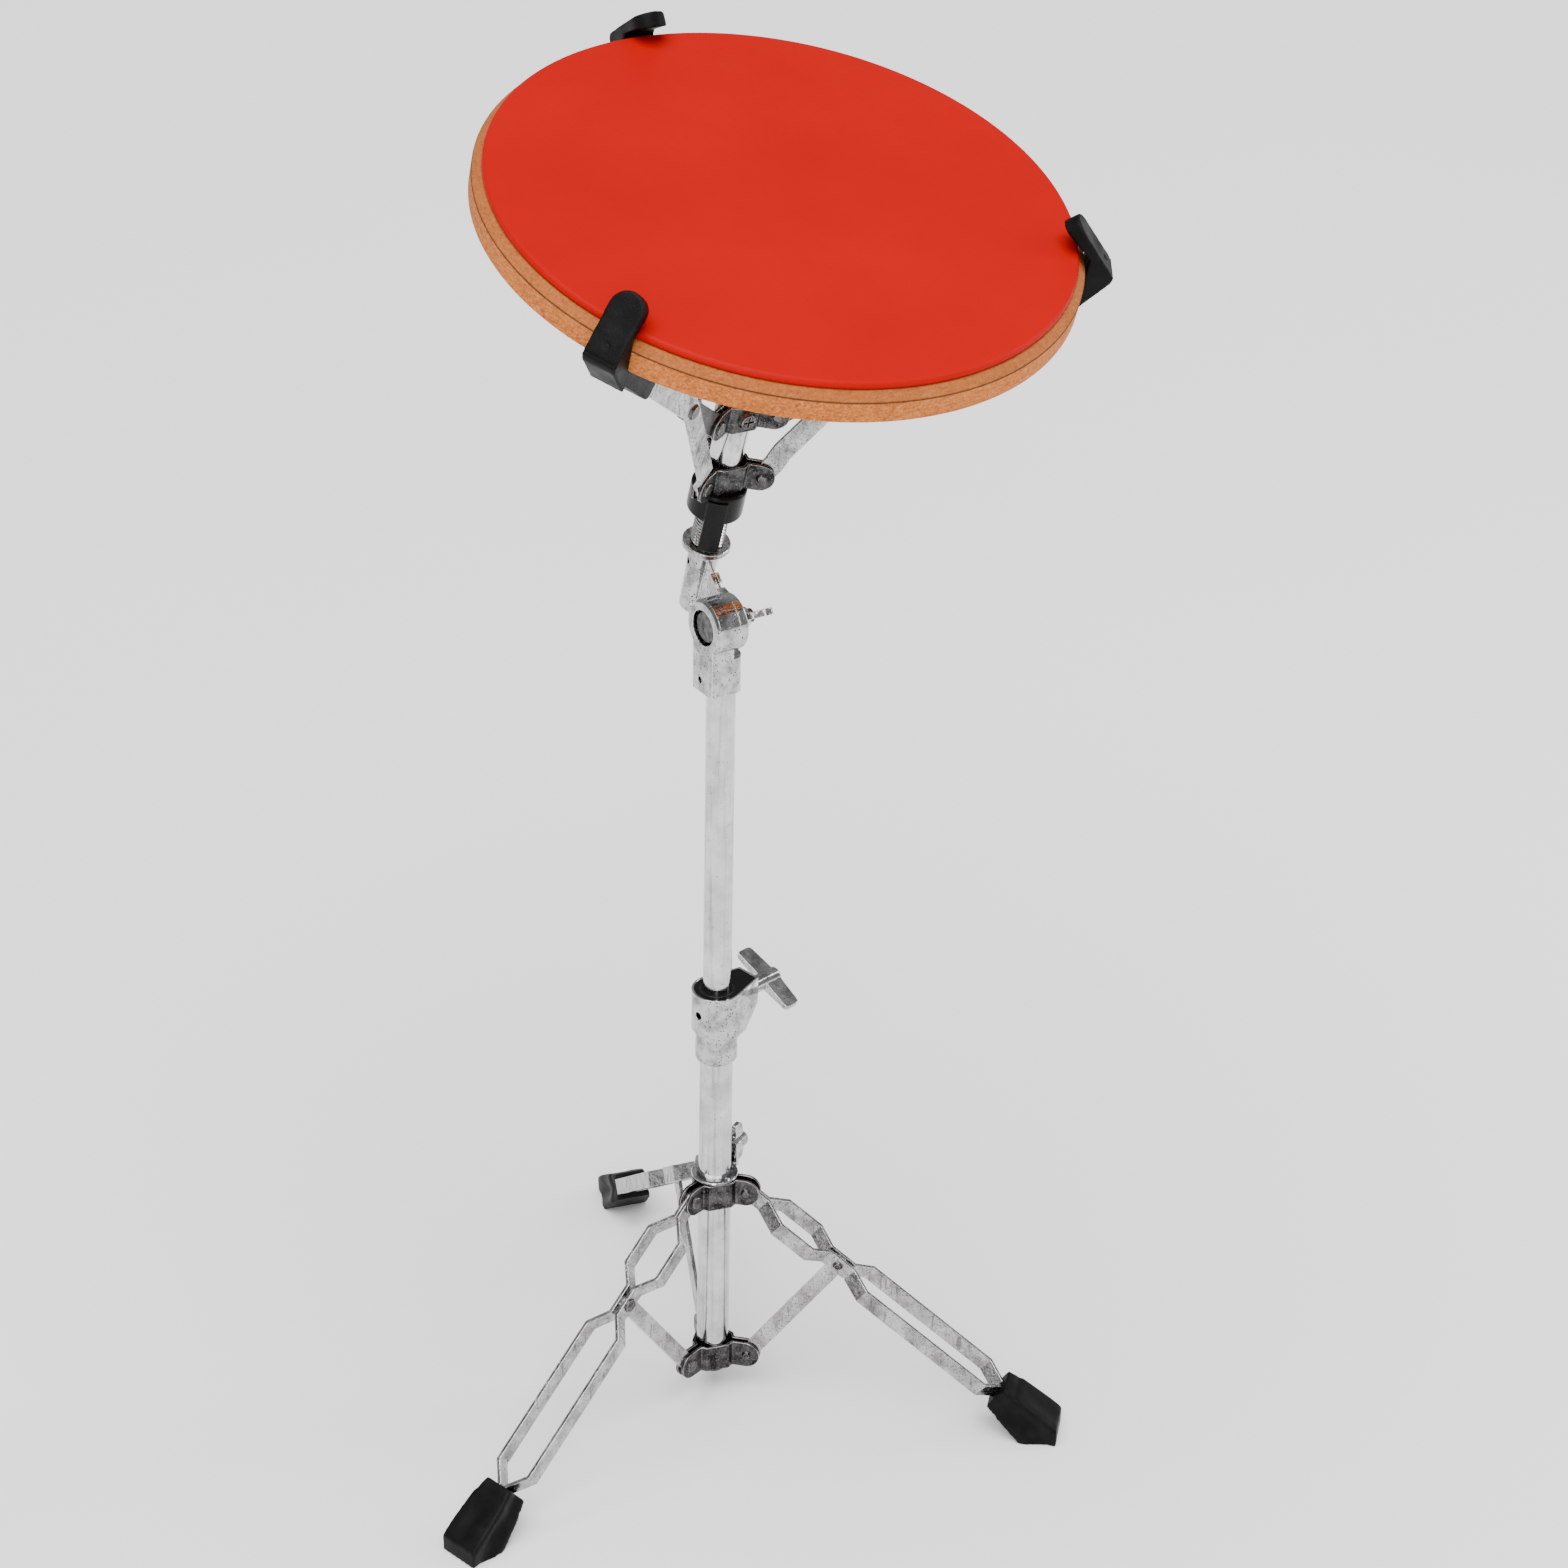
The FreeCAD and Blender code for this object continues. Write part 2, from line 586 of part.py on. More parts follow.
def foot_shape():
    """A rubber foot over the strips' ends, cut flat where it stands on the floor."""
    sections = [foot_section(FOOT_START, 9.2, 10.4, 8.4, -8.4),
                foot_section(205.0, 11.6, 13.0, 9.4, -9.8),
                foot_section(224.0, 12.4, 14.6, 10.0, -12.6),
                foot_section(FOOT_END, 12.0, 15.2, 9.6, -16.0)]
    foot = Part.makeLoft(sections, True, True)
    slope = math.radians(float(d.leg_slope))
    out = Vector(math.cos(slope), 0, math.sin(slope))     # level and outwards, in the leg's frame
    up = Vector(-math.sin(slope), 0, math.cos(slope))
    down = float(d.collar_height)
    toe = 210.5 - float(d.leg_pivot_radius)
    corner = out * toe - up * down
    below = prism([tuple(corner - out * 120 - Y * 40), tuple(corner + out * 60 - Y * 40),
                   tuple(corner + out * 60 - up * 60 - Y * 40),
                   tuple(corner - out * 120 - up * 60 - Y * 40)], Y * 80)
    ahead = prism([tuple(corner - up * 60 - Y * 40), tuple(corner + out * 60 - up * 60 - Y * 40),
                   tuple(corner + out * 60 + up * 60 - Y * 40), tuple(corner + up * 60 - Y * 40)], Y * 80)
    foot = foot.cut([below, ahead])
    return foot.cut([strip_shape(1), strip_shape(-1)])


def strut_shape():
    """A flat bar along x, rounded at both ends, and its place from foot bracket to leg."""
    slope = math.radians(float(d.leg_slope))
    reach = float(d.strut_joint)
    joint = Vector(float(d.leg_pivot_radius) + reach * math.cos(slope), 0,
                   float(d.collar_height) - reach * math.sin(slope))
    pivot = Vector(float(d.strut_pivot_radius), 0, float(d.strut_pivot_height))
    length = (joint - pivot).Length
    half, thick = float(d.strip_width) / 2, float(d.strut_thick)
    bar = box((0, -thick / 2, -half), (length, thick / 2, half))
    ends = [cylinder(half, thick, Vector(at, -thick / 2, 0), Y) for at in (0, length)]
    bar = joined([bar] + ends)
    holes = [cylinder(d.rivet_radius, 10, Vector(at, -5, 0), Y) for at in (0, length)]
    rise = math.degrees(math.atan2(joint.z - pivot.z, joint.x - pivot.x))
    return bar.cut(holes), Placement(pivot, Rotation(Y, -rise))


def make_legs():
    strut, at = strut_shape()
    for number, azimuth in enumerate(LEG_AZIMUTHS, start=1):
        frame = leg_frame(azimuth)
        feature("leg_%d_strip_left" % number, strip_shape(1), frame)
        feature("leg_%d_strip_right" % number, strip_shape(-1), frame)
        feature("leg_%d_rivet" % number, leg_rivet(), frame)
        feature("leg_%d_foot" % number, foot_shape(), frame)
        feature("strut_%d" % number, strut.copy(), turn_about_z(azimuth).multiply(at))


# ---------------------------------------------------------------- tilter
WING_TURN = -26.8                 # rest angle of the tilter's wing nut about its bolt


def make_tilter():
    level = Placement(Z * float(d.hinge_height), Rotation())
    left, right = d.head_left, d.head_right
    half, drop = d.socket_half, d.socket_drop
    bevel = 1.5
    bolt_head, bolt_radius = 9.4, 4.0
    base = new_body("tilter_base")
    side = new_sketch(base, "YZ_Plane", (right - left) / 2)
    draw_circle(side, (0, 0), d.head_radius)
    add_pad(base, side, left + right)
    soften(base, lambda e: abs(e.BoundBox.XMax + float(left)) < 1e-6, bevel, "PartDesign::Chamfer")
    shin = new_sketch(base, "XY_Plane", -drop)
    draw(shin, [(-left, -half), (right, -half), (right, half), (-left, half)])
    add_pad(base, shin, drop, both=False)
    plan = new_sketch(base, "XY_Plane", -drop)
    back = math.sqrt(float(d.socket_round) ** 2 - float(half) ** 2)
    inside = -5.0                     # this plan starts within the head's own block
    draw(plan, [(inside, -half), (back, -half), (back, half, float(d.socket_round) - back), (inside, half)])
    add_pad(base, plan, drop - d.socket_top, both=False)
    bore = new_sketch(base, "XY_Plane", -drop)
    draw_circle(bore, (0, 0), d.top_tube_radius)
    cut_pocket(base, bore, drop - d.tube_top, both=False, reverse=True)
    recess = new_sketch(base, "YZ_Plane", -left)
    draw_circle(recess, (0, 0), bolt_head + 0.6)
    cut_pocket(base, recess, 6.0, both=False, reverse=True)
    through = new_sketch(base, "YZ_Plane")
    draw_circle(through, (0, 0), bolt_radius)
    cut_pocket(base, through, 60.0)
    pin = new_sketch(base, "YZ_Plane", -left)
    draw_circle(pin, (2.5, -drop + 7.0), 2.0)
    cut_pocket(base, pin, 5.0, both=False, reverse=True)
    base.Placement = level

    bolt_face = 4.9 - float(left)
    bolt_end, dome = 18.5, 3.4
    head = Part.makeCone(bolt_head, bolt_head - 0.8, dome, Vector(bolt_face, 0, 0), Vector(-1, 0, 0))
    rim = [e for e in head.Edges if abs(e.BoundBox.XMin - bolt_face + dome) < 1e-6]
    head = head.makeFillet(0.9, rim)
    bolt = joined([head, cylinder(bolt_head, 1.1, Vector(bolt_face, 0, 0), X),
                   cylinder(bolt_radius - RUN, bolt_end - bolt_face, Vector(bolt_face, 0, 0), X)])
    feature("tilter_bolt", bolt, level)

    start = float(right) + 0.2
    thick = float(d.disc_thick)
    offset, aside, post = float(d.stem_offset), float(d.stem_side), float(d.post_radius)
    top, foot = float(d.stem_foot) - float(d.washer_thick), -float(d.post_bottom)
    disc = cylinder(d.head_radius, thick, Vector(start, 0, 0), X)
    outer_rim = [e for e in disc.Edges if abs(e.BoundBox.XMin - start - thick) < 1e-6]
    disc = disc.makeFillet(1.0, outer_rim)
    plate = prism([(start, 0, -13.0), (start, offset + 2, foot + 3), (start, offset + 2, top - 2),
                   (start, offset - 5, top - 2), (start, 13.0, 12.5), (start, 0, 13.0)], X * thick)
    scoop, rib = 24.0, 2.8            # the curved upper edge, and the rib that follows it
    curl = Vector(0, 5.0, 38.5)
    plate = plate.cut(cylinder(scoop, thick + 2, curl + X * (start - 1), X))
    web_drop, cut_deep = 1.8, 4.0     # the web lies this far below each face of the arm
    floor = start + thick - web_drop
    recess_tool = prism([(floor, 8.0, -13.4 + rib), (floor, offset + 2, foot + 3 + rib),
                         (floor, offset + 2, top - 4), (floor, offset - 9, top - 4),
                         (floor, 13.0, 12.5), (floor, 8.0, 10.0)], X * cut_deep)
    recess_tool = recess_tool.cut([cylinder(scoop + rib, 10, curl + X * (floor - 1), X),
                                   cylinder(d.head_radius, 10, Vector(floor - 1, 0, 0), X)])
    plate = plate.cut(recess_tool)
    hollow = recess_tool.copy()
    hollow.translate(X * (2 * web_drop - thick - cut_deep))
    plate = plate.cut(hollow)
    taper = post - 1.3
    upright = Part.makeCone(taper, post, top - foot, Vector(aside, offset, foot), Z)
    ends = [e for e in upright.Edges if abs(e.BoundBox.ZMax - foot) < 1e-6 and e.Length > 10]
    upright = upright.makeFillet(1.5, ends)
    spigot = cylinder(d.stem_radius - d.stem_wall, 18.0, Vector(aside, offset, top))
    casting = joined([disc, plate, upright, spigot])
    casting = casting.cut([cylinder(bolt_radius, 40, Vector(0, 0, 0), X),
                           cylinder(1.9, 20, Vector(aside - 20, offset + 2.0, top - 10.5), X)])
    feature("tilter_head", casting, Placement(Z * float(d.hinge_height), Rotation(X, float(d.tilt_rest))))

    nut_start = start + thick + 0.2
    hub = Part.makeCone(7.6, 5.6, 7.5, Vector(nut_start, 0, 0), X)
    thin = 3.8
    wings = []
    for way in (1, -1):
        outline = [(nut_start + 0.8, way * 4.6, -thin / 2), (nut_start + 6.5, way * 4.6, -thin / 2),
                   (nut_start + 18.0, way * 8.2, -thin / 2), (nut_start + 17.5, way * 13.0, -thin / 2),
                   (nut_start + 12.5, way * 14.0, -thin / 2)]
        wing = prism(outline, Z * thin)
        corners = [e for e in wing.Edges if abs(e.Length - thin) < 1e-6
                   and e.BoundBox.XMin > nut_start + 10]
        wings.append(wing.makeFillet(1.6, corners))
    nut = joined([hub] + wings).cut(cylinder(bolt_radius, 60, Vector(0, 0, 0), X))
    feature("tilter_wing_nut", nut, level.multiply(Placement(Vector(0, 0, 0), Rotation(X, WING_TURN))))


# ---------------------------------------------------------------- basket
def make_stem():
    """The stem tube, threaded over its lower part, with its washer and top cap."""
    inner = d.stem_radius - d.stem_wall
    crest, depth = float(d.stem_radius), 0.9
    pitch = float(d.thread_pitch)
    count = int((float(d.thread_top) - float(d.stem_foot)) / pitch) - 1
    outline = [(inner, d.stem_foot), (d.stem_radius - depth, d.stem_foot)]
    for i in range(count):
        base = float(d.stem_foot) + 0.4 + i * pitch
        outline += [(crest - depth, base), (crest, base + 0.5), (crest, base + 0.8),
                    (crest - depth, base + 1.3)]
    outline += [(crest, d.thread_top), (d.stem_radius, d.stem_top), (inner, d.stem_top)]
    wire = Part.makePolygon([Vector(float(r), 0, float(z)) for r, z in outline + outline[:1]])
    tube = Part.Face(wire).revolve(Vector(0, 0, 0), Z, 360)
    feature("basket_stem", tube, basket_frame)
    washer = turned("stem_washer", [
        (d.stem_radius - d.stem_wall + 0.1, d.stem_foot - d.washer_thick),
        (d.washer_radius, d.stem_foot - d.washer_thick),
        (d.washer_radius, d.stem_foot - 0.5), (d.washer_radius - 0.5, d.stem_foot),
        (d.stem_radius - d.stem_wall + 0.1, d.stem_foot)])
    washer.Placement = basket_frame
    cap = turned("stem_cap", [
        (0, d.stem_top - 8.0), (inner, d.stem_top - 8.0), (inner, d.stem_top),
        (d.stem_radius + 0.6, d.stem_top), (d.stem_radius + 0.6, d.stem_top + 1.2),
        (d.stem_radius - 1.6, d.stem_top + 3.0), (0, d.stem_top + 3.4)])
    cap.Placement = basket_frame


LOBE_REACH = 27.5                 # how far the basket brackets' lobes stand out from the stem
LOW_PIVOT, TOP_PIVOT = 20.5, 21.2  # the pivots' distances from the stem's axis


def make_basket_brackets():
    gap = float(d.link_thick) / 2 + FACE
    high = basket_frame.multiply(Placement(Z * float(d.top_lobe), Rotation()))
    radius = float(d.stem_radius)
    bracket("top_bracket_plates", high, ARM_AZIMUTHS, radius, LOBE_REACH, gap, 16.0, TOP_PIVOT)
    rivets("top_bracket_rivets", high, ARM_AZIMUTHS, TOP_PIVOT, gap + float(d.lobe_thick))
    screw_way = ARM_AZIMUTHS[1] + PITCH / 2
    face = radius + float(d.lobe_thick)
    screw = Part.makeCone(5.4, 4.0, 2.6, X * face, X)
    cross = [box((face + 0.9, -3.2, -0.7), (face + 4, 3.2, 0.7)),
             box((face + 0.9, -0.7, -3.2), (face + 4, 0.7, 3.2))]
    screw = screw.cut(cross)
    feature("bracket_screw", screw, high.multiply(turn_about_z(screw_way)))

    low = basket_frame.multiply(Placement(Z * float(d.low_lobe), Rotation()))
    arm_gap = float(d.arm_thick) / 2 + FACE
    bracket("low_bracket_plates", low, ARM_AZIMUTHS, radius + RUN, LOBE_REACH, arm_gap, 16.0, LOW_PIVOT)
    rivets("low_bracket_rivets", low, ARM_AZIMUTHS, LOW_PIVOT, arm_gap + float(d.lobe_thick))


NUT_TURN = -124.0                 # rest angle of the nut's tongues about the stem


def make_basket_nut():
    """The black nut that pushes the lower bracket up: a cup with two long tongues."""
    top = float(d.low_lobe) - 8.0 - FACE
    radius, bore = float(d.nut_radius), float(d.stem_radius) + RUN
    cup_high, tongue_low = 18.0, float(d.stem_foot) + 6.0
    cup = cylinder(radius, cup_high, Z * (top - cup_high))
    edges = [e for e in cup.Edges if e.Length > 20]
    cup = cup.makeFillet(2.0, edges)
    skirt = cylinder(radius + 2.4, cup_high - 4, Z * (top - cup_high + 1.0))
    ring = cylinder(radius - 1.8, 60, Z * (top - 60))
    tongues = []
    for way in (0.0, 180.0):
        slab = box((6.0, -5.4, tongue_low), (radius + 2.4, 5.4, top - 2.0))
        slab = slab.common(cylinder(radius + 2.4, 80, Z * (tongue_low - 1)))
        slab = slab.cut(ring)
        slab.Placement = turn_about_z(way)
        tongues.append(slab)
    wings = skirt.common(box((-40, -5.4, 0), (40, 5.4, 200)))
    nut = joined([cup, wings] + tongues).cut(cylinder(bore, 100, Z * 20))
    feature("basket_nut", nut, basket_frame.multiply(turn_about_z(NUT_TURN)))


def arm_points():
    """The arm's middle line in its own plane: lower pivot, elbow and grip end, as (r, height)."""
    pivot = (LOW_PIVOT, float(d.low_lobe))
    elbow = (float(d.elbow_radius), float(d.elbow_height))
    slope = math.radians(40.8)        # the upper stretch's rise
    reach = 110.0                     # and its length, up to its end inside the grip
    end = (elbow[0] + reach * math.cos(slope), elbow[1] + reach * math.sin(slope))
    return pivot, elbow, end


def bar(path, round_start, round_end):
    """A flat bar along x, on edge, joggled sideways, with one or both ends rounded."""
    width = float(d.arm_width)
    start, stop = path[0][0], path[-1][0]
    shape = ribbon(path, float(d.arm_thick), width, 1.5)
    cut_start = start + (width / 2 if round_start else 0)
    cut_stop = stop - (width / 2 if round_end else 0)
    keep = [box((cut_start, -20, -width), (cut_stop, 20, width))]
    if round_start:
        keep.append(cylinder(width / 2, 40, Vector(cut_start, -20, 0), Y))
    if round_end:
        keep.append(cylinder(width / 2, 40, Vector(cut_stop, -20, 0), Y))
    return shape.common(joined(keep))


ARM_SIDE = 3.5                    # the arm's middle stretch stands this far beside its pivots


def arm_shape():
    """A flat steel bar on edge: a joggled stretch up to the elbow, and a stretch to the grip."""
    pivot, elbow, end = arm_points()
    width = float(d.arm_width)
    first = math.hypot(elbow[0] - pivot[0], elbow[1] - pivot[1])
    rise = math.degrees(math.atan2(elbow[1] - pivot[1], elbow[0] - pivot[0]))
    lower = bar([(-width / 2, 0.0), (9.5, 0.0), (17.0, ARM_SIDE), (first + width / 2, ARM_SIDE)],
                True, True)
    lower.Placement = Placement(Vector(pivot[0], 0, pivot[1]), Rotation(Y, -rise))
    second = math.hypot(end[0] - elbow[0], end[1] - elbow[1])
    climb = math.degrees(math.atan2(end[1] - elbow[1], end[0] - elbow[0]))
    upper = bar([(-width / 2, ARM_SIDE), (9.0, ARM_SIDE), (17.0, 0.0), (second, 0.0)], True, False)
    upper.Placement = Placement(Vector(elbow[0], 0, elbow[1]), Rotation(Y, -climb))
    arm = joined([lower, upper])
    holes = [cylinder(d.rivet_radius, 40, Vector(pivot[0], -20, pivot[1]), Y),
             cylinder(d.rivet_radius, 40, Vector(elbow[0], -20, elbow[1]), Y)]
    return arm.cut(holes)


ELBOW_PLAY = 0.36                 # the link's loose fit on the elbow rivet


def elbow_rivet():
    """The elbow's rivet: fast in the arm, loose in the link, with its head beyond the link."""
    _, elbow, _ = arm_points()
    radius = float(d.rivet_radius)
    near = ARM_SIDE + float(d.arm_thick) / 2
    far = -float(d.link_thick) / 2 - FACE
    at = Vector(elbow[0], far, elbow[1])
    flat = Part.makeCone(4.4, 3.5, 1.4, Vector(elbow[0], near, elbow[1]), Y)
    formed = Part.makeCone(4.2, 2.6, 1.4, at, Vector(0, -1, 0))
    return joined([cylinder(radius, near - far, at, Y), flat, formed])


def link_shape():
    """A short dark bar along x, from the top bracket's pivot to the arm's elbow, and its place."""
    _, elbow, _ = arm_points()
    pivot = (TOP_PIVOT, float(d.top_lobe))
    length = math.hypot(elbow[0] - pivot[0], elbow[1] - pivot[1])
    rise = math.degrees(math.atan2(elbow[1] - pivot[1], elbow[0] - pivot[0]))
    thick, half = float(d.link_thick), 6.0
    plate = joined([box((0, -thick / 2, -half), (length, thick / 2, half))]
                   + [cylinder(half, thick, Vector(at, -thick / 2, 0), Y) for at in (0, length)])
    radius = float(d.rivet_radius)
    holes = [cylinder(radius, 10, Vector(0, -5, 0), Y),
             cylinder(radius + ELBOW_PLAY, 10, Vector(length, -5, 0), Y)]
    return plate.cut(holes), Placement(Vector(pivot[0], 0, pivot[1]), Rotation(Y, -rise))


def grip_shape():
    """A moulded rubber claw over the board's rim, with a square boss round the arm's end."""
    half = float(d.grip_half)
    top = float(d.pad_surface)
    gap = 0.3
    rim = float(d.board_radius) + gap
    below = top - float(d.rubber_thick) - float(d.board_thick) - gap
    shoulder = Vector(166.7, 0, top - 10.0)
    outer_tip = Vector(142.9, 0, top + 16.4)
    along = (outer_tip - shoulder).normalize()
    inward = Vector(-along.z, 0, along.x)         # square to the outer face, towards the pad
    inner_tip = outer_tip + inward * 8.4
    claw = prism([(inner_tip.x, -half, inner_tip.z), (144.0, -half, top + 5.6),
                  (rim, -half, top - 1.5), (rim, -half, below), (146.0, -half, below),
                  (153.6, -half, top - 30.5), (166.0, -half, top - 13.5),
                  (shoulder.x, -half, shoulder.z), (outer_tip.x, -half, outer_tip.z)], Y * 2 * half)
    round_at = outer_tip - along * half
    tip_round = cylinder(half, 120, round_at - inward * 40, inward)
    rest = prism([tuple(round_at - inward * 40), tuple(round_at - inward * 40 - along * 90),
                  tuple(round_at + inward * 80 - along * 90), tuple(round_at + inward * 80)],
                 Y * 2 * half)
    rest.translate(-Y * half)
    claw = claw.common(joined([tip_round, rest]))
    _, elbow, end = arm_points()
    climb = math.degrees(math.atan2(end[1] - elbow[1], end[0] - elbow[0]))
    boss = box((74.0, -7.6, -8.0), (112.0, 7.6, 7.4))
    corners = [e for e in boss.Edges if abs(e.Length - 38.0) < 1e-6]
    boss = boss.makeFillet(1.6, corners)
    boss.Placement = Placement(Vector(elbow[0], 0, elbow[1]), Rotation(Y, -climb))
    over = box((100, -20, below), (rim, 20, top + 60))
    outside = prism([(153.6, -20, top - 30.5), (166.0, -20, top - 13.5), (200, -20, top - 13.5),
                     (200, -20, top - 80.0), (153.6, -20, top - 80.0)], Y * 40)
    boss = boss.cut([over, outside, box((160, -20, 0), (250, 20, 400))])
    grip = joined([claw, boss])
    socket = box((60.0, -float(d.arm_thick) / 2, -float(d.arm_width) / 2),
                 (110.0, float(d.arm_thick) / 2, float(d.arm_width) / 2))
    socket.Placement = Placement(Vector(elbow[0], 0, elbow[1]), Rotation(Y, -climb))
    return grip.cut(socket)


def make_arms():
    link, link_place = link_shape()
    for number, azimuth in enumerate(ARM_AZIMUTHS, start=1):
        frame = arm_frame(azimuth)
        feature("arm_%d" % number, arm_shape(), frame)
        feature("arm_%d_rivet" % number, elbow_rivet(), frame)
        feature("grip_%d" % number, grip_shape(), frame)
        feature("link_%d" % number, link.copy(), frame.multiply(link_place))


# ---------------------------------------------------------------- assembly
make_pad()
make_tubes()
make_height_clamp()
make_height_bolt()
make_foot_bracket()
make_collar()
make_legs()
make_tilter()
make_stem()
make_basket_brackets()
make_basket_nut()
make_arms()
doc.recompute()

faults = [o.Label for o in doc.Objects if "Invalid" in o.State or "Error" in o.State]
for node in NODES:
    if node.Shape.isNull() or not node.Shape.isValid() or not node.Shape.Solids:
        faults.append(node.Label)
if faults:
    raise RuntimeError("failed objects: " + ", ".join(sorted(set(faults))))

os.makedirs("parts", exist_ok=True)
for node in NODES:
    node.Shape.exportStep("parts/%s.step" % node.Label)
print(len(NODES), "nodes written")
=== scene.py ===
"""Looks of a practice pad held in a basket stand: camera, studio, materials and moulded pieces.

Metres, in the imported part's own frame: +Z up along the tube, origin on the floor under it, and the
tilter's hinge along X.
"""
import json
import math

import bmesh
import bpy
from mathutils import Matrix, Vector


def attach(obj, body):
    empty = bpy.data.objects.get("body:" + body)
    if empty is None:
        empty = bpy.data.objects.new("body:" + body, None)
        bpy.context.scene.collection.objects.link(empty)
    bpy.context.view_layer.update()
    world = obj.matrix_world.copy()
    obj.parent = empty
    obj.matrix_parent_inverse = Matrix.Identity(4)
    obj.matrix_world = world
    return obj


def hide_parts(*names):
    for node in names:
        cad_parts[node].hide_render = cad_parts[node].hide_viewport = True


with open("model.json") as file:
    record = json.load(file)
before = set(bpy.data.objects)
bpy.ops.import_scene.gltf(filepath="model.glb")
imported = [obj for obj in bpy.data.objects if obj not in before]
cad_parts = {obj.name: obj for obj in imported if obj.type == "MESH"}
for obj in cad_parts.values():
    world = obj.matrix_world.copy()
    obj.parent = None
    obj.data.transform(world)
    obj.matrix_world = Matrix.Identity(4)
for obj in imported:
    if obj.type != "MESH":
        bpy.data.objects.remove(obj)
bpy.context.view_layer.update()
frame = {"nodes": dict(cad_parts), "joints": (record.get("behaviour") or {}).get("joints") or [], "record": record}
NODES = frame["nodes"]
JOINTS = {joint["name"]: joint for joint in frame["joints"]}
MM = 0.001

# the stem's axis, and levels along it
STEM_UP = -Vector(JOINTS["basket_slide"]["axis"]).normalized()
STEM_AT = Vector(JOINTS["basket_nut_turn"]["pos_m"])
FACE_AT = Vector([m for m in frame["record"]["mounts"] if m["name"] == "playing_face"][0]["pos_m"])
FACE_LEVEL = FACE_AT.dot(STEM_UP)
RUBBER_THICK = 4.0 * MM
BOARD_TOP = FACE_LEVEL - RUBBER_THICK
BOARD_BEVEL = 4.0 * MM
HINGE_LEVEL = FACE_LEVEL - 245.2 * MM
THREAD_PITCH = 2.0 * MM
THREAD_LOW = HINGE_LEVEL + 27.6 * MM
THREAD_TOP = HINGE_LEVEL + 62.0 * MM

LEG_SLOPE = math.radians(37.6)


# ---------------------------------------------------------------- material helpers
class Graph:
    """A material's node tree, with short calls for the nodes used here."""

    def __init__(self, name):
        self.material = bpy.data.materials.new(name)
        self.material.use_nodes = True
        self.tree = self.material.node_tree
        self.shader = self.tree.nodes["Principled BSDF"]
        self.place = self.add("ShaderNodeTexCoord").outputs["Object"]

    def add(self, kind, links=(), **values):
        """A node of one kind; links maps its input names to outputs, values sets inputs."""
        node = self.tree.nodes.new(kind)
        for name, value in values.items():
            node.inputs[name.replace("_", " ")].default_value = value
        for name, source in dict(links).items():
            self.tree.links.new(source, node.inputs[name])
        return node

    def fix(self, **values):
        """Sets constants on the shader's own sockets."""
        for name, value in values.items():
            self.shader.inputs[name.replace("_", " ")].default_value = value

    def feed(self, name, source):
        self.tree.links.new(source, self.shader.inputs[name])

    def stretched(self, x, y, z):
        """Object coordinates scaled along each axis, for streaks and grain."""
        node = self.add("ShaderNodeMapping", {"Vector": self.place})
        node.inputs["Scale"].default_value = (x, y, z)
        return node.outputs["Vector"]

    def noise(self, scale, detail=3.0, rough=0.55, place=None):
        node = self.add("ShaderNodeTexNoise", {"Vector": place or self.place},
                        Scale=scale, Detail=detail, Roughness=rough)
        return node.outputs["Fac"]

    def cells(self, scale, place=None):
        node = self.add("ShaderNodeTexVoronoi", {"Vector": place or self.place}, Scale=scale)
        return node.outputs["Distance"]

    def pits(self, scale, size):
        """Small round spots, one in some of the cells, each size of a cell across its middle."""
        spots = self.span(self.cells(scale), size + 0.06, size - 0.02)
        return self.maths("MULTIPLY", spots, self.span(self.noise(170.0, 3.0), 0.44, 0.56))

    def span(self, source, low, high, to_low=0.0, to_high=1.0):
        """The source's range low..high stretched to to_low..to_high, and held there."""
        node = self.add("ShaderNodeMapRange", {"Value": source}, From_Min=low, From_Max=high,
                        To_Min=to_low, To_Max=to_high)
        return node.outputs["Result"]

    def blend(self, share, first, second):
        """Mixes two colours; each is an output or a plain (r, g, b)."""
        node = self.tree.nodes.new("ShaderNodeMix")
        node.data_type = "RGBA"
        self.tree.links.new(share, node.inputs["Factor"])
        for socket, colour in ((node.inputs[6], first), (node.inputs[7], second)):
            if isinstance(colour, tuple):
                socket.default_value = (*colour, 1.0)
            else:
                self.tree.links.new(colour, socket)
        return node.outputs[2]

    def maths(self, how, first, second):
        node = self.tree.nodes.new("ShaderNodeMath")
        node.operation = how
        for socket, value in ((node.inputs[0], first), (node.inputs[1], second)):
            if isinstance(value, (int, float)):
                socket.default_value = value
            else:
                self.tree.links.new(value, socket)
        return node.outputs["Value"]

    def bump(self, height, depth, under=None):
        """Relief of a height map, depth metres high, over another normal."""
        node = self.add("ShaderNodeBump", {"Height": height}, Strength=1.0, Distance=depth)
        if under is not None:
            self.tree.links.new(under, node.inputs["Normal"])
        return node.outputs["Normal"]

    def rounded(self, radius):
        """The surface normal with its sharp edges eased over a radius."""
        node = self.tree.nodes.new("ShaderNodeBevel")
        node.samples = 6
        node.inputs["Radius"].default_value = radius
        return node.outputs["Normal"]

    def edges(self, radius, sharpness=0.12):
        """1 along sharp edges and 0 on flats, from how far the eased normal turns."""
        true = self.tree.nodes.new("ShaderNodeNewGeometry").outputs["Normal"]
        dot = self.tree.nodes.new("ShaderNodeVectorMath")
        dot.operation = "DOT_PRODUCT"
        self.tree.links.new(self.rounded(radius), dot.inputs[0])
        self.tree.links.new(true, dot.inputs[1])
        return self.span(dot.outputs["Value"], 1.0, 1.0 - sharpness)


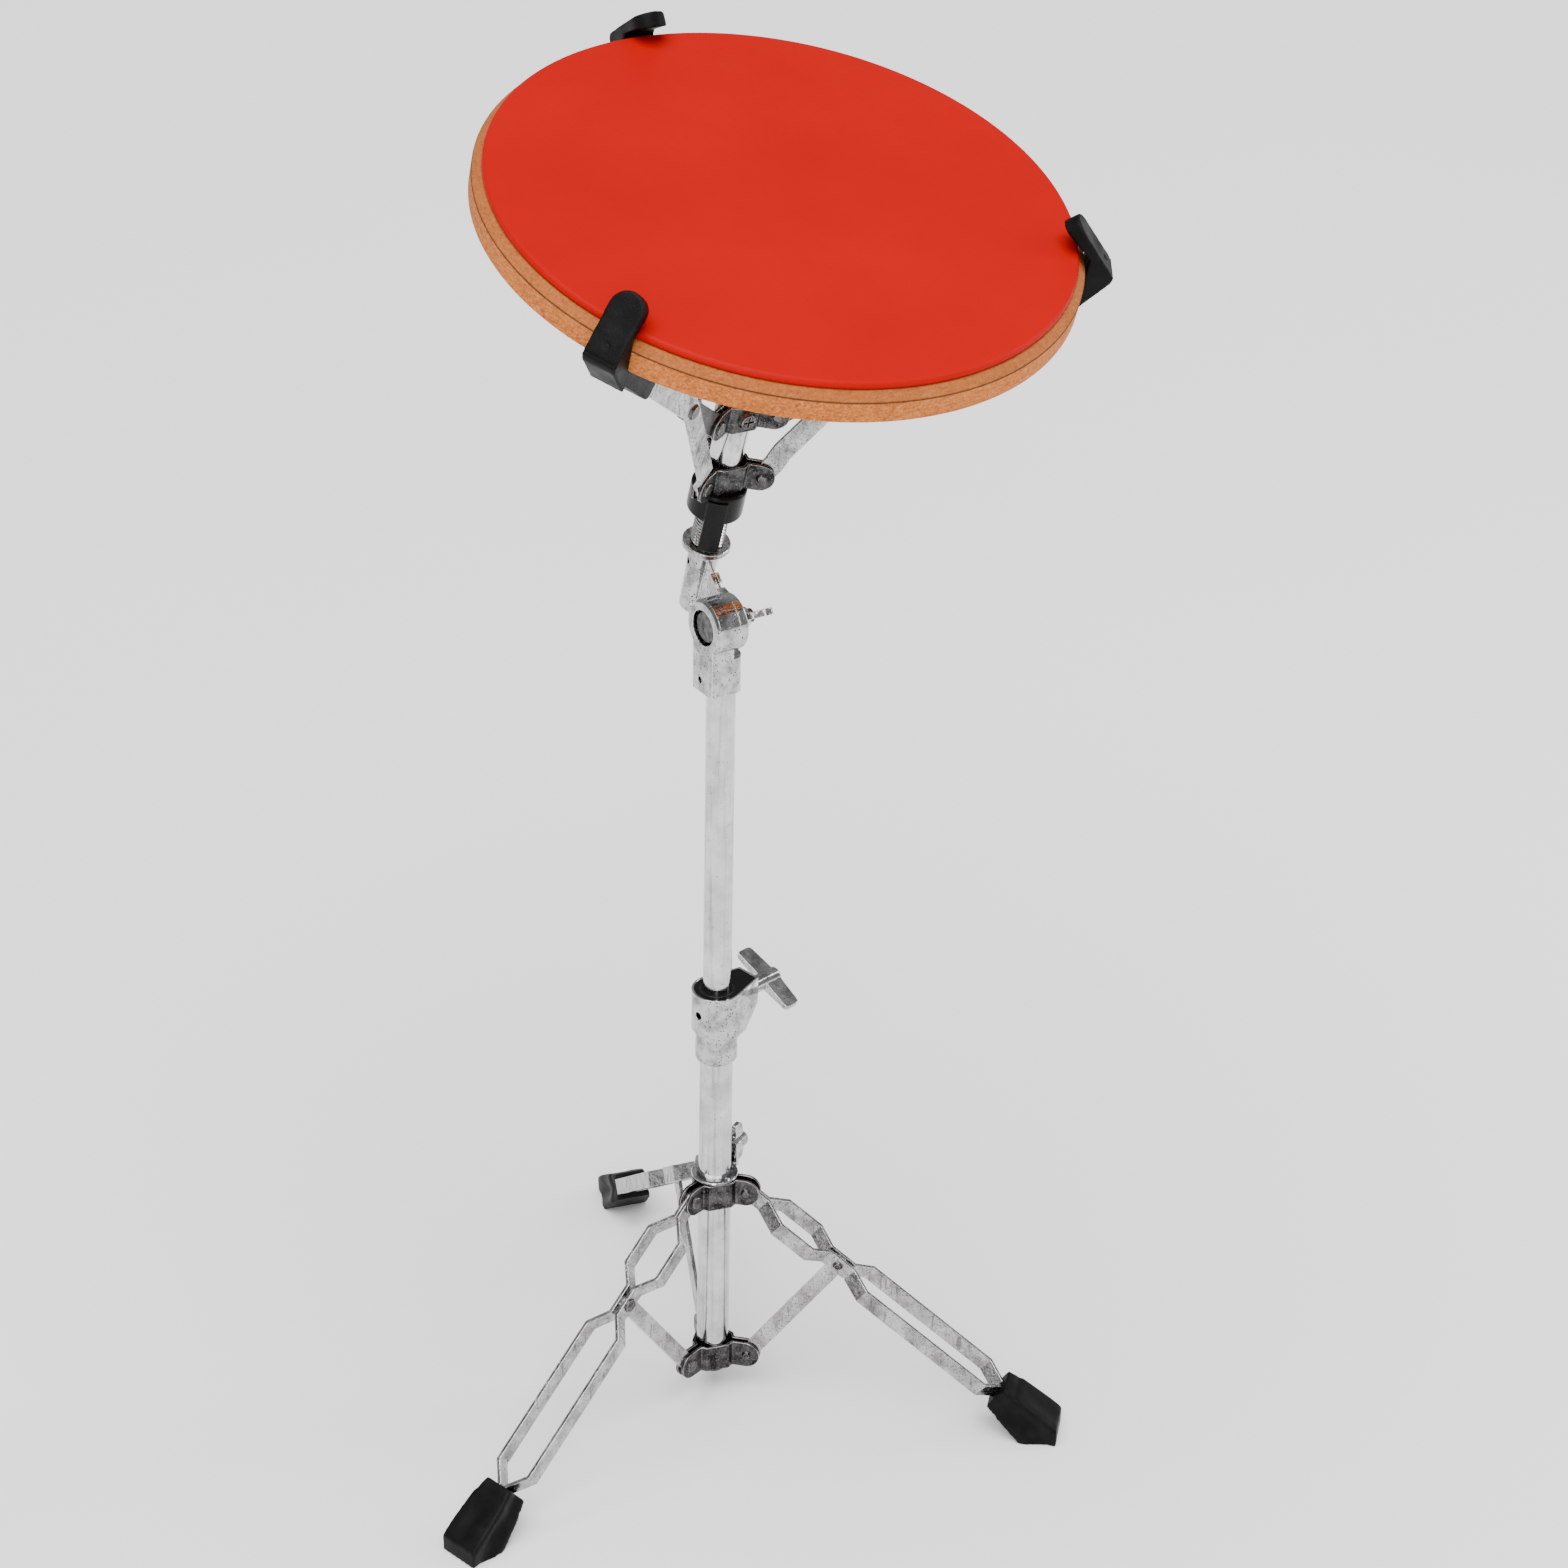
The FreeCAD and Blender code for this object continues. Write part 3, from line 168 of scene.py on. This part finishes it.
# ---------------------------------------------------------------- materials
def along_stem(g):
    """The height of a point along the stem's axis."""
    level = g.add("ShaderNodeVectorMath")
    level.operation = "DOT_PRODUCT"
    g.tree.links.new(g.place, level.inputs[0])
    level.inputs[1].default_value = tuple(STEM_UP)
    return level.outputs["Value"]


def polished_chrome(name="polished_chrome", threaded=False):
    """Thin chrome on drawn tube: bright, a little cloudy, with dark bands along it that are painted reflections;
    the same streaks give faint drawing lines in the relief.
    """
    cloudy, bright, painted_reflection_grey = (0.40, 0.40, 0.405), (0.70, 0.70, 0.705), (0.22, 0.22, 0.225)
    speck, painted_groove_shade = (0.05, 0.048, 0.046), (0.02, 0.0195, 0.019)
    g = Graph(name)
    g.fix(Metallic=1.0)
    haze = g.noise(60.0, 5.0)
    streak = g.noise(420.0, 2.0, place=g.stretched(1.0, 1.0, 0.03))
    specks = g.span(g.noise(700.0, 2.0, 0.6), 0.64, 0.70)
    body = g.blend(g.span(haze, 0.3, 0.7), cloudy, bright)
    # the dark bands along the tube are painted reflections of the surroundings
    lined = g.blend(g.span(streak, 0.52, 0.70, 0.0, 0.6), body, painted_reflection_grey)
    colour = g.blend(g.maths("MULTIPLY", specks, 0.55), lined, speck)
    if threaded:
        # the thread's grooves are coloured near black: painted shade inside the grooves
        height = along_stem(g)
        turns = g.maths("DIVIDE", g.maths("SUBTRACT", height, THREAD_LOW), THREAD_PITCH)
        groove = g.span(g.maths("PINGPONG", turns, 0.5), 0.30, 0.16)
        cut = g.maths("MULTIPLY", groove, g.span(height, THREAD_TOP, THREAD_TOP - 0.5 * MM))
        colour = g.blend(g.maths("MULTIPLY", cut, 0.92), colour, painted_groove_shade)
    g.feed("Base Color", colour)
    g.feed("Roughness", g.span(haze, 0.3, 0.7, 0.06, 0.17))
    relief = g.maths("ADD", g.noise(30.0, 2.0), g.maths("MULTIPLY", streak, 0.12))
    g.feed("Normal", g.bump(relief, 0.22 * MM, g.rounded(0.5 * MM)))
    return g.material


def plated_casting():
    """Chrome over a rough casting: bright and wavy, with a few dark patches painted in as reflections, pitted all
    over.
    """
    bright, darker_tone = (0.50, 0.497, 0.493), (0.22, 0.218, 0.215)
    pit_floor, rubbed = (0.015, 0.0145, 0.014), (0.93, 0.92, 0.91)
    g = Graph("plated_casting")
    g.fix(Metallic=1.0)
    cloud = g.noise(120.0, 5.0, 0.6)
    pits = g.pits(620.0, 0.24)
    # the dark cloudy patches are painted reflections, not a duller finish
    body = g.blend(g.span(cloud, 0.42, 0.66), bright, darker_tone)
    pitted = g.blend(g.maths("MULTIPLY", pits, 0.92), body, pit_floor)
    g.feed("Base Color", g.blend(g.maths("MULTIPLY", g.edges(0.8 * MM), 0.6), pitted, rubbed))
    g.feed("Roughness", g.span(g.maths("ADD", cloud, pits), 0.35, 1.5, 0.08, 0.34))
    relief = g.maths("SUBTRACT", g.noise(150.0, 2.0), g.maths("MULTIPLY", pits, 0.6))
    g.feed("Normal", g.bump(relief, 0.22 * MM, g.rounded(0.7 * MM)))
    return g.material


def galvanised_strip():
    """Plated strip steel with dark flecks, fine scratches and duller patches."""
    darker_tone, bright = (0.22, 0.218, 0.213), (0.52, 0.516, 0.508)
    fleck, scored, rubbed = (0.02, 0.019, 0.018), (0.07, 0.069, 0.067), (0.93, 0.925, 0.915)
    g = Graph("galvanised_strip")
    g.fix(Metallic=1.0)
    cloud = g.noise(95.0, 5.0, 0.6)
    grains = g.span(g.noise(1000.0, 2.0, 0.7), 0.57, 0.64)
    flecks = g.maths("MAXIMUM", g.pits(560.0, 0.22), grains)
    scratch = g.span(g.noise(420.0, 2.0, place=g.stretched(1.0, 1.0, 0.12)), 0.58, 0.66)
    body = g.blend(g.span(cloud, 0.35, 0.65), darker_tone, bright)
    flecked = g.blend(g.maths("MULTIPLY", flecks, 0.75), body, fleck)
    scratched = g.blend(g.maths("MULTIPLY", scratch, 0.5), flecked, scored)
    g.feed("Base Color", g.blend(g.maths("MULTIPLY", g.edges(0.6 * MM), 0.7), scratched, rubbed))
    g.feed("Roughness", g.span(g.maths("ADD", cloud, scratch), 0.3, 1.4, 0.16, 0.42))
    relief = g.maths("ADD", g.noise(260.0, 3.0), g.maths("MULTIPLY", scratch, -0.3))
    g.feed("Normal", g.bump(relief, 0.24 * MM, g.rounded(0.6 * MM)))
    return g.material


def black_nickel():
    """Dark plated pressings, rubbed bright along their edges, with greyer worn patches."""
    dark, grey = (0.012, 0.012, 0.0125), (0.085, 0.083, 0.082)
    fleck, rubbed = (0.20, 0.195, 0.19), (0.62, 0.60, 0.58)
    g = Graph("black_nickel")
    g.fix(Metallic=1.0)
    cloud = g.noise(150.0, 5.0, 0.6)
    flecks = g.span(g.noise(900.0, 2.0, 0.7), 0.56, 0.64)
    body = g.blend(g.span(cloud, 0.38, 0.66), dark, grey)
    flecked = g.blend(g.maths("MULTIPLY", flecks, 0.5), body, fleck)
    wear = g.span(g.noise(160.0, 3.0), 0.3, 0.6, 0.25, 0.95)
    g.feed("Base Color", g.blend(g.maths("MULTIPLY", g.edges(0.7 * MM), wear), flecked, rubbed))
    g.feed("Roughness", g.span(cloud, 0.25, 0.8, 0.22, 0.44))
    g.feed("Normal", g.bump(g.noise(320.0, 3.0), 0.20 * MM, g.rounded(0.8 * MM)))
    return g.material


def rivet_steel():
    """Darkened rivets and screws, bright only where their rims are rubbed."""
    dark, grey, rubbed = (0.018, 0.018, 0.018), (0.13, 0.128, 0.125), (0.60, 0.59, 0.57)
    g = Graph("rivet_steel")
    g.fix(Metallic=1.0)
    cloud = g.noise(300.0, 4.0)
    body = g.blend(g.span(cloud, 0.35, 0.65), dark, grey)
    g.feed("Base Color", g.blend(g.maths("MULTIPLY", g.edges(0.6 * MM), 0.6), body, rubbed))
    g.feed("Roughness", g.span(cloud, 0.3, 0.7, 0.2, 0.42))
    g.feed("Normal", g.bump(g.noise(500.0, 2.0), 0.18 * MM, g.rounded(0.8 * MM)))
    return g.material


def black_rubber():
    """Matt moulded rubber, a little dusty, with a fine grain, and its edges painted lighter, partly as rubbing and
    partly as a painted highlight.
    """
    clean, dusty, rubbed = (0.0022, 0.0020, 0.0020), (0.010, 0.0092, 0.0090), (0.030, 0.028, 0.027)
    g = Graph("black_rubber")
    g.fix(Specular_IOR_Level=0.09)
    dust = g.span(g.noise(75.0, 5.0, 0.65), 0.42, 0.75)
    body = g.blend(g.maths("MULTIPLY", dust, 0.6), clean, dusty)
    # lighter edges: partly rubbing, partly a painted highlight
    g.feed("Base Color", g.blend(g.maths("MULTIPLY", g.edges(1.4 * MM), 0.45), body, rubbed))
    g.feed("Roughness", g.span(g.noise(90.0, 4.0), 0.3, 0.7, 0.38, 0.56))
    grain = g.maths("ADD", g.noise(1500.0, 2.0), g.noise(170.0, 3.0))
    g.feed("Normal", g.bump(grain, 0.16 * MM, g.rounded(1.0 * MM)))
    return g.material


def black_plastic():
    """Smooth moulded plastic, a little worn along its edges."""
    deep, faded, rubbed = (0.002, 0.002, 0.0022), (0.006, 0.006, 0.0063), (0.05, 0.05, 0.05)
    g = Graph("black_plastic")
    g.fix(Specular_IOR_Level=0.12)
    cloud = g.noise(120.0, 4.0)
    body = g.blend(cloud, deep, faded)
    g.feed("Base Color", g.blend(g.maths("MULTIPLY", g.edges(0.9 * MM), 0.5), body, rubbed))
    g.feed("Roughness", g.span(cloud, 0.3, 0.7, 0.16, 0.32))
    g.feed("Normal", g.bump(g.noise(1100.0, 2.0), 0.06 * MM, g.rounded(0.8 * MM)))
    return g.material


def red_rubber():
    """The playing face: smooth red rubber with a satin skin and faint stick rub."""
    deep, bright, rubbed = (0.37, 0.0, 0.0003), (0.42, 0.0, 0.0004), (0.32, 0.0004, 0.0008)
    g = Graph("red_rubber")
    g.fix(Specular_IOR_Level=0.05)
    cloud = g.noise(9.0, 4.0)
    fine = g.noise(260.0, 4.0)
    body = g.blend(g.span(cloud, 0.3, 0.7), deep, bright)
    g.feed("Base Color", g.blend(g.span(fine, 0.62, 0.8, 0.0, 0.35), body, rubbed))
    g.feed("Roughness", g.span(g.maths("ADD", cloud, fine), 0.6, 1.4, 0.34, 0.48))
    skin = g.maths("ADD", g.maths("MULTIPLY", g.noise(1700.0, 2.0), 0.5), g.noise(14.0, 2.0))
    g.feed("Normal", g.bump(skin, 0.14 * MM))
    return g.material


def fibreboard():
    """Bare wood-fibre board: tangled fibres, a browner bevel, and a thin dark line of painted shade along the edge
    at the bevel's foot.
    """
    brown, tan, dark_fibre = (0.46, 0.125, 0.022), (0.58, 0.172, 0.034), (0.20, 0.050, 0.010)
    light_fibre, bevel_brown, painted_edge_shade = (0.80, 0.36, 0.13), (0.22, 0.065, 0.018), (0.03, 0.010, 0.004)
    g = Graph("fibreboard")
    g.fix(Specular_IOR_Level=0.18)
    fibre_a = g.noise(800.0, 4.0, 0.7, place=g.stretched(1.0, 0.25, 1.0))
    fibre_b = g.noise(800.0, 4.0, 0.7, place=g.stretched(0.25, 1.0, 1.0))
    fibres = g.maths("MULTIPLY", g.maths("ADD", fibre_a, fibre_b), 0.5)
    patches = g.noise(24.0, 4.0)
    body = g.blend(g.span(patches, 0.3, 0.7), brown, tan)
    speckled = g.blend(g.span(fibres, 0.50, 0.62, 0.0, 0.75), body, dark_fibre)
    lit = g.blend(g.span(fibres, 0.48, 0.38, 0.0, 0.4), speckled, light_fibre)
    foot = BOARD_TOP - BOARD_BEVEL
    depth = along_stem(g)
    bevel = g.span(depth, foot - 0.2 * MM, foot + 0.3 * MM)
    browned = g.blend(g.maths("MULTIPLY", bevel, 0.55), lit, bevel_brown)
    # a thin near-black band along the bevel's lower edge: painted shade
    line = g.maths("MULTIPLY", g.span(depth, foot - 0.8 * MM, foot - 0.2 * MM),
                   g.span(depth, foot + 0.5 * MM, foot + 0.1 * MM))
    g.feed("Base Color", g.blend(g.maths("MULTIPLY", line, 0.85), browned, painted_edge_shade))
    g.feed("Roughness", g.span(fibres, 0.3, 0.7, 0.70, 0.88))
    g.feed("Normal", g.bump(fibres, 0.45 * MM, g.rounded(0.6 * MM)))
    return g.material


MATERIALS = {
    "chrome_tube": polished_chrome(),
    "cast_chrome": plated_casting(),
    "galvanised_strip": galvanised_strip(),
    "dark_steel": black_nickel(),
    "rivet_steel": rivet_steel(),
    "black_rubber": black_rubber(),
    "black_plastic": black_plastic(),
    "red_rubber": red_rubber(),
    "fibreboard": fibreboard(),
}


NODE_LOOKS = {
    "basket_stem": polished_chrome("threaded_chrome", threaded=True),
    "stem_washer": MATERIALS["galvanised_strip"],
}


def dress_frame():
    """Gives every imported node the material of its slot, or the node's own where it has one."""
    for entry in frame["record"]["subparts"]:
        node = NODES[entry["node"]]
        node.data.materials.clear()
        node.data.materials.append(NODE_LOOKS.get(entry["node"], MATERIALS[entry["material_slot"]]))


# ---------------------------------------------------------------- mesh helpers
def finish_piece(mesh, name, body, slot, replaced, smooth_angle=40.0):
    """Makes a bmesh an object that rides on a body and stands for CAD nodes."""
    bmesh.ops.recalc_face_normals(mesh, faces=mesh.faces)
    data = bpy.data.meshes.new(name)
    mesh.to_mesh(data)
    mesh.free()
    piece = bpy.data.objects.new(name, data)
    bpy.context.scene.collection.objects.link(piece)
    data.materials.append(MATERIALS[slot])
    data.shade_smooth()
    data.set_sharp_from_angle(angle=math.radians(smooth_angle))
    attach(piece, body)
    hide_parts(replaced)
    return piece


SMOOTHING_PASSES = 3


def moulded(node, voxel, shape):
    """A rounded, finely meshed copy of a CAD solid, each vertex then pushed in along its normal
    by shape(point, normal)."""
    block = bpy.data.objects.new(node + "_block", NODES[node].data.copy())
    bpy.context.scene.collection.objects.link(block)
    remesh = block.modifiers.new("remesh", "REMESH")
    remesh.mode = "VOXEL"
    remesh.voxel_size = voxel
    bpy.context.view_layer.update()
    ready = block.evaluated_get(bpy.context.evaluated_depsgraph_get())
    mesh = bmesh.new()
    mesh.from_mesh(ready.to_mesh())
    ready.to_mesh_clear()
    bpy.data.objects.remove(block)
    for _ in range(SMOOTHING_PASSES):
        bmesh.ops.smooth_vert(mesh, verts=mesh.verts, factor=0.5, use_axis_x=True, use_axis_y=True,
                              use_axis_z=True)
    mesh.normal_update()
    moves = [(vert, shape(vert.co, vert.normal)) for vert in mesh.verts]
    for vert, depth in moves:
        vert.co -= vert.normal * depth
    return mesh


def hump(value, middle, half_width):
    """1 at the middle, falling smoothly to 0 at half_width from it."""
    away = min(abs(value - middle) / half_width, 1.0)
    return (1.0 - away * away) ** 2


def pad_face():
    """The moulded rubber face: a flat disc with a rounded rim, tucked in where it is glued."""
    radius, round_edge, tuck = 147.5 * MM, 2.4 * MM, 0.7 * MM
    top, seat = 0.0, -RUBBER_THICK
    rim_steps, around = 8, 240
    outline = [(0.0, top), (40 * MM, top), (90 * MM, top), (128 * MM, top), (140 * MM, top)]
    for step in range(rim_steps + 1):
        angle = math.radians(90.0 * (1 - step / rim_steps))
        outline.append((radius - round_edge + round_edge * math.cos(angle),
                        top - round_edge + round_edge * math.sin(angle)))
    outline += [(radius, seat + 1.1 * MM), (radius - 0.25 * MM, seat + 0.6 * MM),
                (radius - tuck, seat + 0.25 * MM), (radius - tuck, seat), (0.0, seat)]
    turn = STEM_UP.to_track_quat("Z", "Y").to_matrix()
    mesh = bmesh.new()
    rings = []
    for r, z in outline:
        if r == 0.0:
            rings.append([mesh.verts.new(FACE_AT + turn @ Vector((0, 0, z)))])
            continue
        ring = []
        for k in range(around):
            a = 2 * math.pi * k / around
            ring.append(mesh.verts.new(FACE_AT + turn @ Vector((r * math.cos(a), r * math.sin(a), z))))
        rings.append(ring)
    for one, two in zip(rings, rings[1:]):
        for k in range(around):
            n = (k + 1) % around
            corners = [one[k % len(one)], one[n % len(one)], two[n % len(two)], two[k % len(two)]]
            unique = list(dict.fromkeys(corners))
            if len(unique) >= 3:
                mesh.faces.new(unique)
    piece = finish_piece(mesh, "pad_face", "tilt_head", "red_rubber", "pad_rubber", 50.0)


def grips():
    """The three rubber grips, each with a crease over its shoulder, a small round mould mark and
    a shallow thumb hollow in its outer face."""
    voxel, skin = 0.7 * MM, 1.0 * MM
    # the outer face's two ends: distance from the stem's axis, and level along it
    shoulder = (166.7 * MM, FACE_LEVEL - 10.0 * MM)
    tip = (142.9 * MM, FACE_LEVEL + 16.4 * MM)
    length = math.hypot(tip[0] - shoulder[0], tip[1] - shoulder[1])
    along = ((tip[0] - shoulder[0]) / length, (tip[1] - shoulder[1]) / length)
    for number in (1, 2, 3):
        hinge = Vector(JOINTS["arm_%d_hinge" % number]["pos_m"])
        out = hinge - STEM_AT
        out = (out - STEM_UP * out.dot(STEM_UP)).normalized()
        side = STEM_UP.cross(out)

        def shape(point, normal, out=out, side=side):
            radial = (point - STEM_AT).dot(out) - shoulder[0]
            rise = point.dot(STEM_UP) - shoulder[1]
            across = (point - STEM_AT).dot(side)
            up_face = radial * along[0] + rise * along[1]
            deep = -radial * along[1] + rise * along[0]
            if abs(deep) >= skin:
                return 0.0
            from_mark = math.hypot(up_face - 8.0 * MM, across)
            mark = 0.45 * MM * hump(from_mark, 1.2 * MM, 0.8 * MM)
            crease = 0.35 * MM * hump(up_face, 1.2 * MM, 1.1 * MM)
            hollow = 0.45 * MM * hump(up_face, 18.0 * MM, 12.0 * MM) * hump(across, 0.0, 8.0 * MM)
            return mark + crease + hollow

        mesh = moulded("grip_%d" % number, voxel, shape)
        finish_piece(mesh, "grip_%d_moulding" % number, "basket_arm_%d" % number, "black_rubber",
                     "grip_%d" % number, 50.0)


def feet():
    """The three rubber feet: a rolled socket, scooped flanks and a grooved sole."""
    voxel, rib_pitch = 0.9 * MM, 5.0 * MM
    for number in (1, 2, 3):
        pivot = Vector(JOINTS["leg_%d_hinge" % number]["pos_m"])
        out = Vector((pivot.x, pivot.y, 0.0)).normalized()
        down = out * math.cos(LEG_SLOPE) - Vector((0, 0, math.sin(LEG_SLOPE)))
        side = Vector((0, 0, 1)).cross(out)
        over = side.cross(down) * -1.0

        def shape(point, normal, pivot=pivot, out=out, down=down, side=side, over=over):
            along = (point - pivot).dot(down)
            high = (point - pivot).dot(over)
            across = abs((point - pivot).dot(side))
            facing_side, facing_up = abs(normal.dot(side)), max(normal.dot(over), 0.0)
            flank = 1.5 * MM * facing_side * hump(along, 219 * MM, 15 * MM) * hump(high, -1.5 * MM, 7.5 * MM)
            roll = 0.3 * MM * hump(along, 201.0 * MM, 3.0 * MM)
            back = 0.8 * MM * facing_up * hump(along, 222 * MM, 18 * MM) * hump(across, 0.0, 8 * MM)
            depth = flank + roll + back
            if normal.z < -0.8:
                wave = math.cos(2 * math.pi * point.dot(out) / rib_pitch)
                depth += 0.8 * MM * max(wave, 0.0)
            return depth

        mesh = moulded("leg_%d_foot" % number, voxel, shape)
        finish_piece(mesh, "leg_%d_boot" % number, "leg_%d" % number, "black_rubber",
                     "leg_%d_foot" % number, 50.0)


# ---------------------------------------------------------------- stage
def studio():
    """A plain pale floor under an evenly lit world."""
    floor = bpy.data.objects.new("studio_floor", bpy.data.meshes.new("studio_floor"))
    half = 14.0
    corners = [(-half, -half, 0), (half, -half, 0), (half, half, 0), (-half, half, 0)]
    floor.data.from_pydata(corners, [], [(0, 1, 2, 3)])
    bpy.context.scene.collection.objects.link(floor)
    paint = Graph("studio_paint")
    paint.fix(Specular_IOR_Level=0.15, Roughness=0.75)
    cool, pale = (0.86, 0.86, 0.865), (0.89, 0.89, 0.89)
    paint.feed("Base Color", paint.blend(paint.noise(1.2, 2.0), cool, pale))
    floor.data.materials.append(paint.material)

    world = bpy.data.worlds.new("studio_world")
    world.use_nodes = True
    background = world.node_tree.nodes["Background"]
    background.inputs["Color"].default_value = (0.97, 0.98, 1.0, 1.0)
    background.inputs["Strength"].default_value = 0.42
    bpy.context.scene.world = world


def soft_light(name, place, target, width, height, power):
    """A rectangular soft box that points at the target."""
    lamp = bpy.data.lights.new(name, "AREA")
    lamp.shape = "RECTANGLE"
    lamp.size = width
    lamp.size_y = height
    lamp.energy = power
    holder = bpy.data.objects.new(name, lamp)
    holder.location = place
    holder.rotation_euler = (Vector(target) - Vector(place)).to_track_quat("-Z", "Y").to_euler()
    bpy.context.scene.collection.objects.link(holder)


def lights():
    """One broad overhead source for the even floor, and two soft boxes for highlights."""
    sky = bpy.data.lights.new("overhead_light", "SUN")
    sky.energy = 5.2
    sky.angle = math.radians(60.0)
    holder = bpy.data.objects.new("overhead_light", sky)
    holder.rotation_euler = (math.radians(12.0), math.radians(-14.0), 0.0)
    bpy.context.scene.collection.objects.link(holder)
    middle = (0.0, 0.0, 0.45)
    soft_light("front_light", (-1.7, -2.2, 1.6), middle, 0.9, 1.6, 30.0)
    soft_light("right_light", (2.2, -0.9, 1.4), middle, 0.5, 1.8, 24.0)


def camera():
    """The view: from the front left, looking down on the pad, long lens."""
    place = Vector((-0.8620, -1.2876, 1.2618))
    heading, down, roll = math.radians(54.907), math.radians(28.696), math.radians(1.355)
    ahead = Vector((math.cos(heading) * math.cos(down), math.sin(heading) * math.cos(down),
                    -math.sin(down)))
    level = Vector((math.sin(heading), -math.cos(heading), 0.0))
    over = level.cross(ahead)
    right = level * math.cos(roll) + over * math.sin(roll)
    upward = over * math.cos(roll) - level * math.sin(roll)
    data = bpy.data.cameras.new("view")
    data.lens = 74.64
    data.sensor_width = 36.0
    data.clip_start = 0.05
    data.clip_end = 60.0
    holder = bpy.data.objects.new("view", data)
    turned = Matrix((right, upward, -ahead)).transposed().to_4x4()
    holder.matrix_world = Matrix.Translation(place) @ turned
    bpy.context.scene.collection.objects.link(holder)
    bpy.context.scene.camera = holder


camera()
studio()
lights()
dress_frame()
pad_face()
grips()
feet()
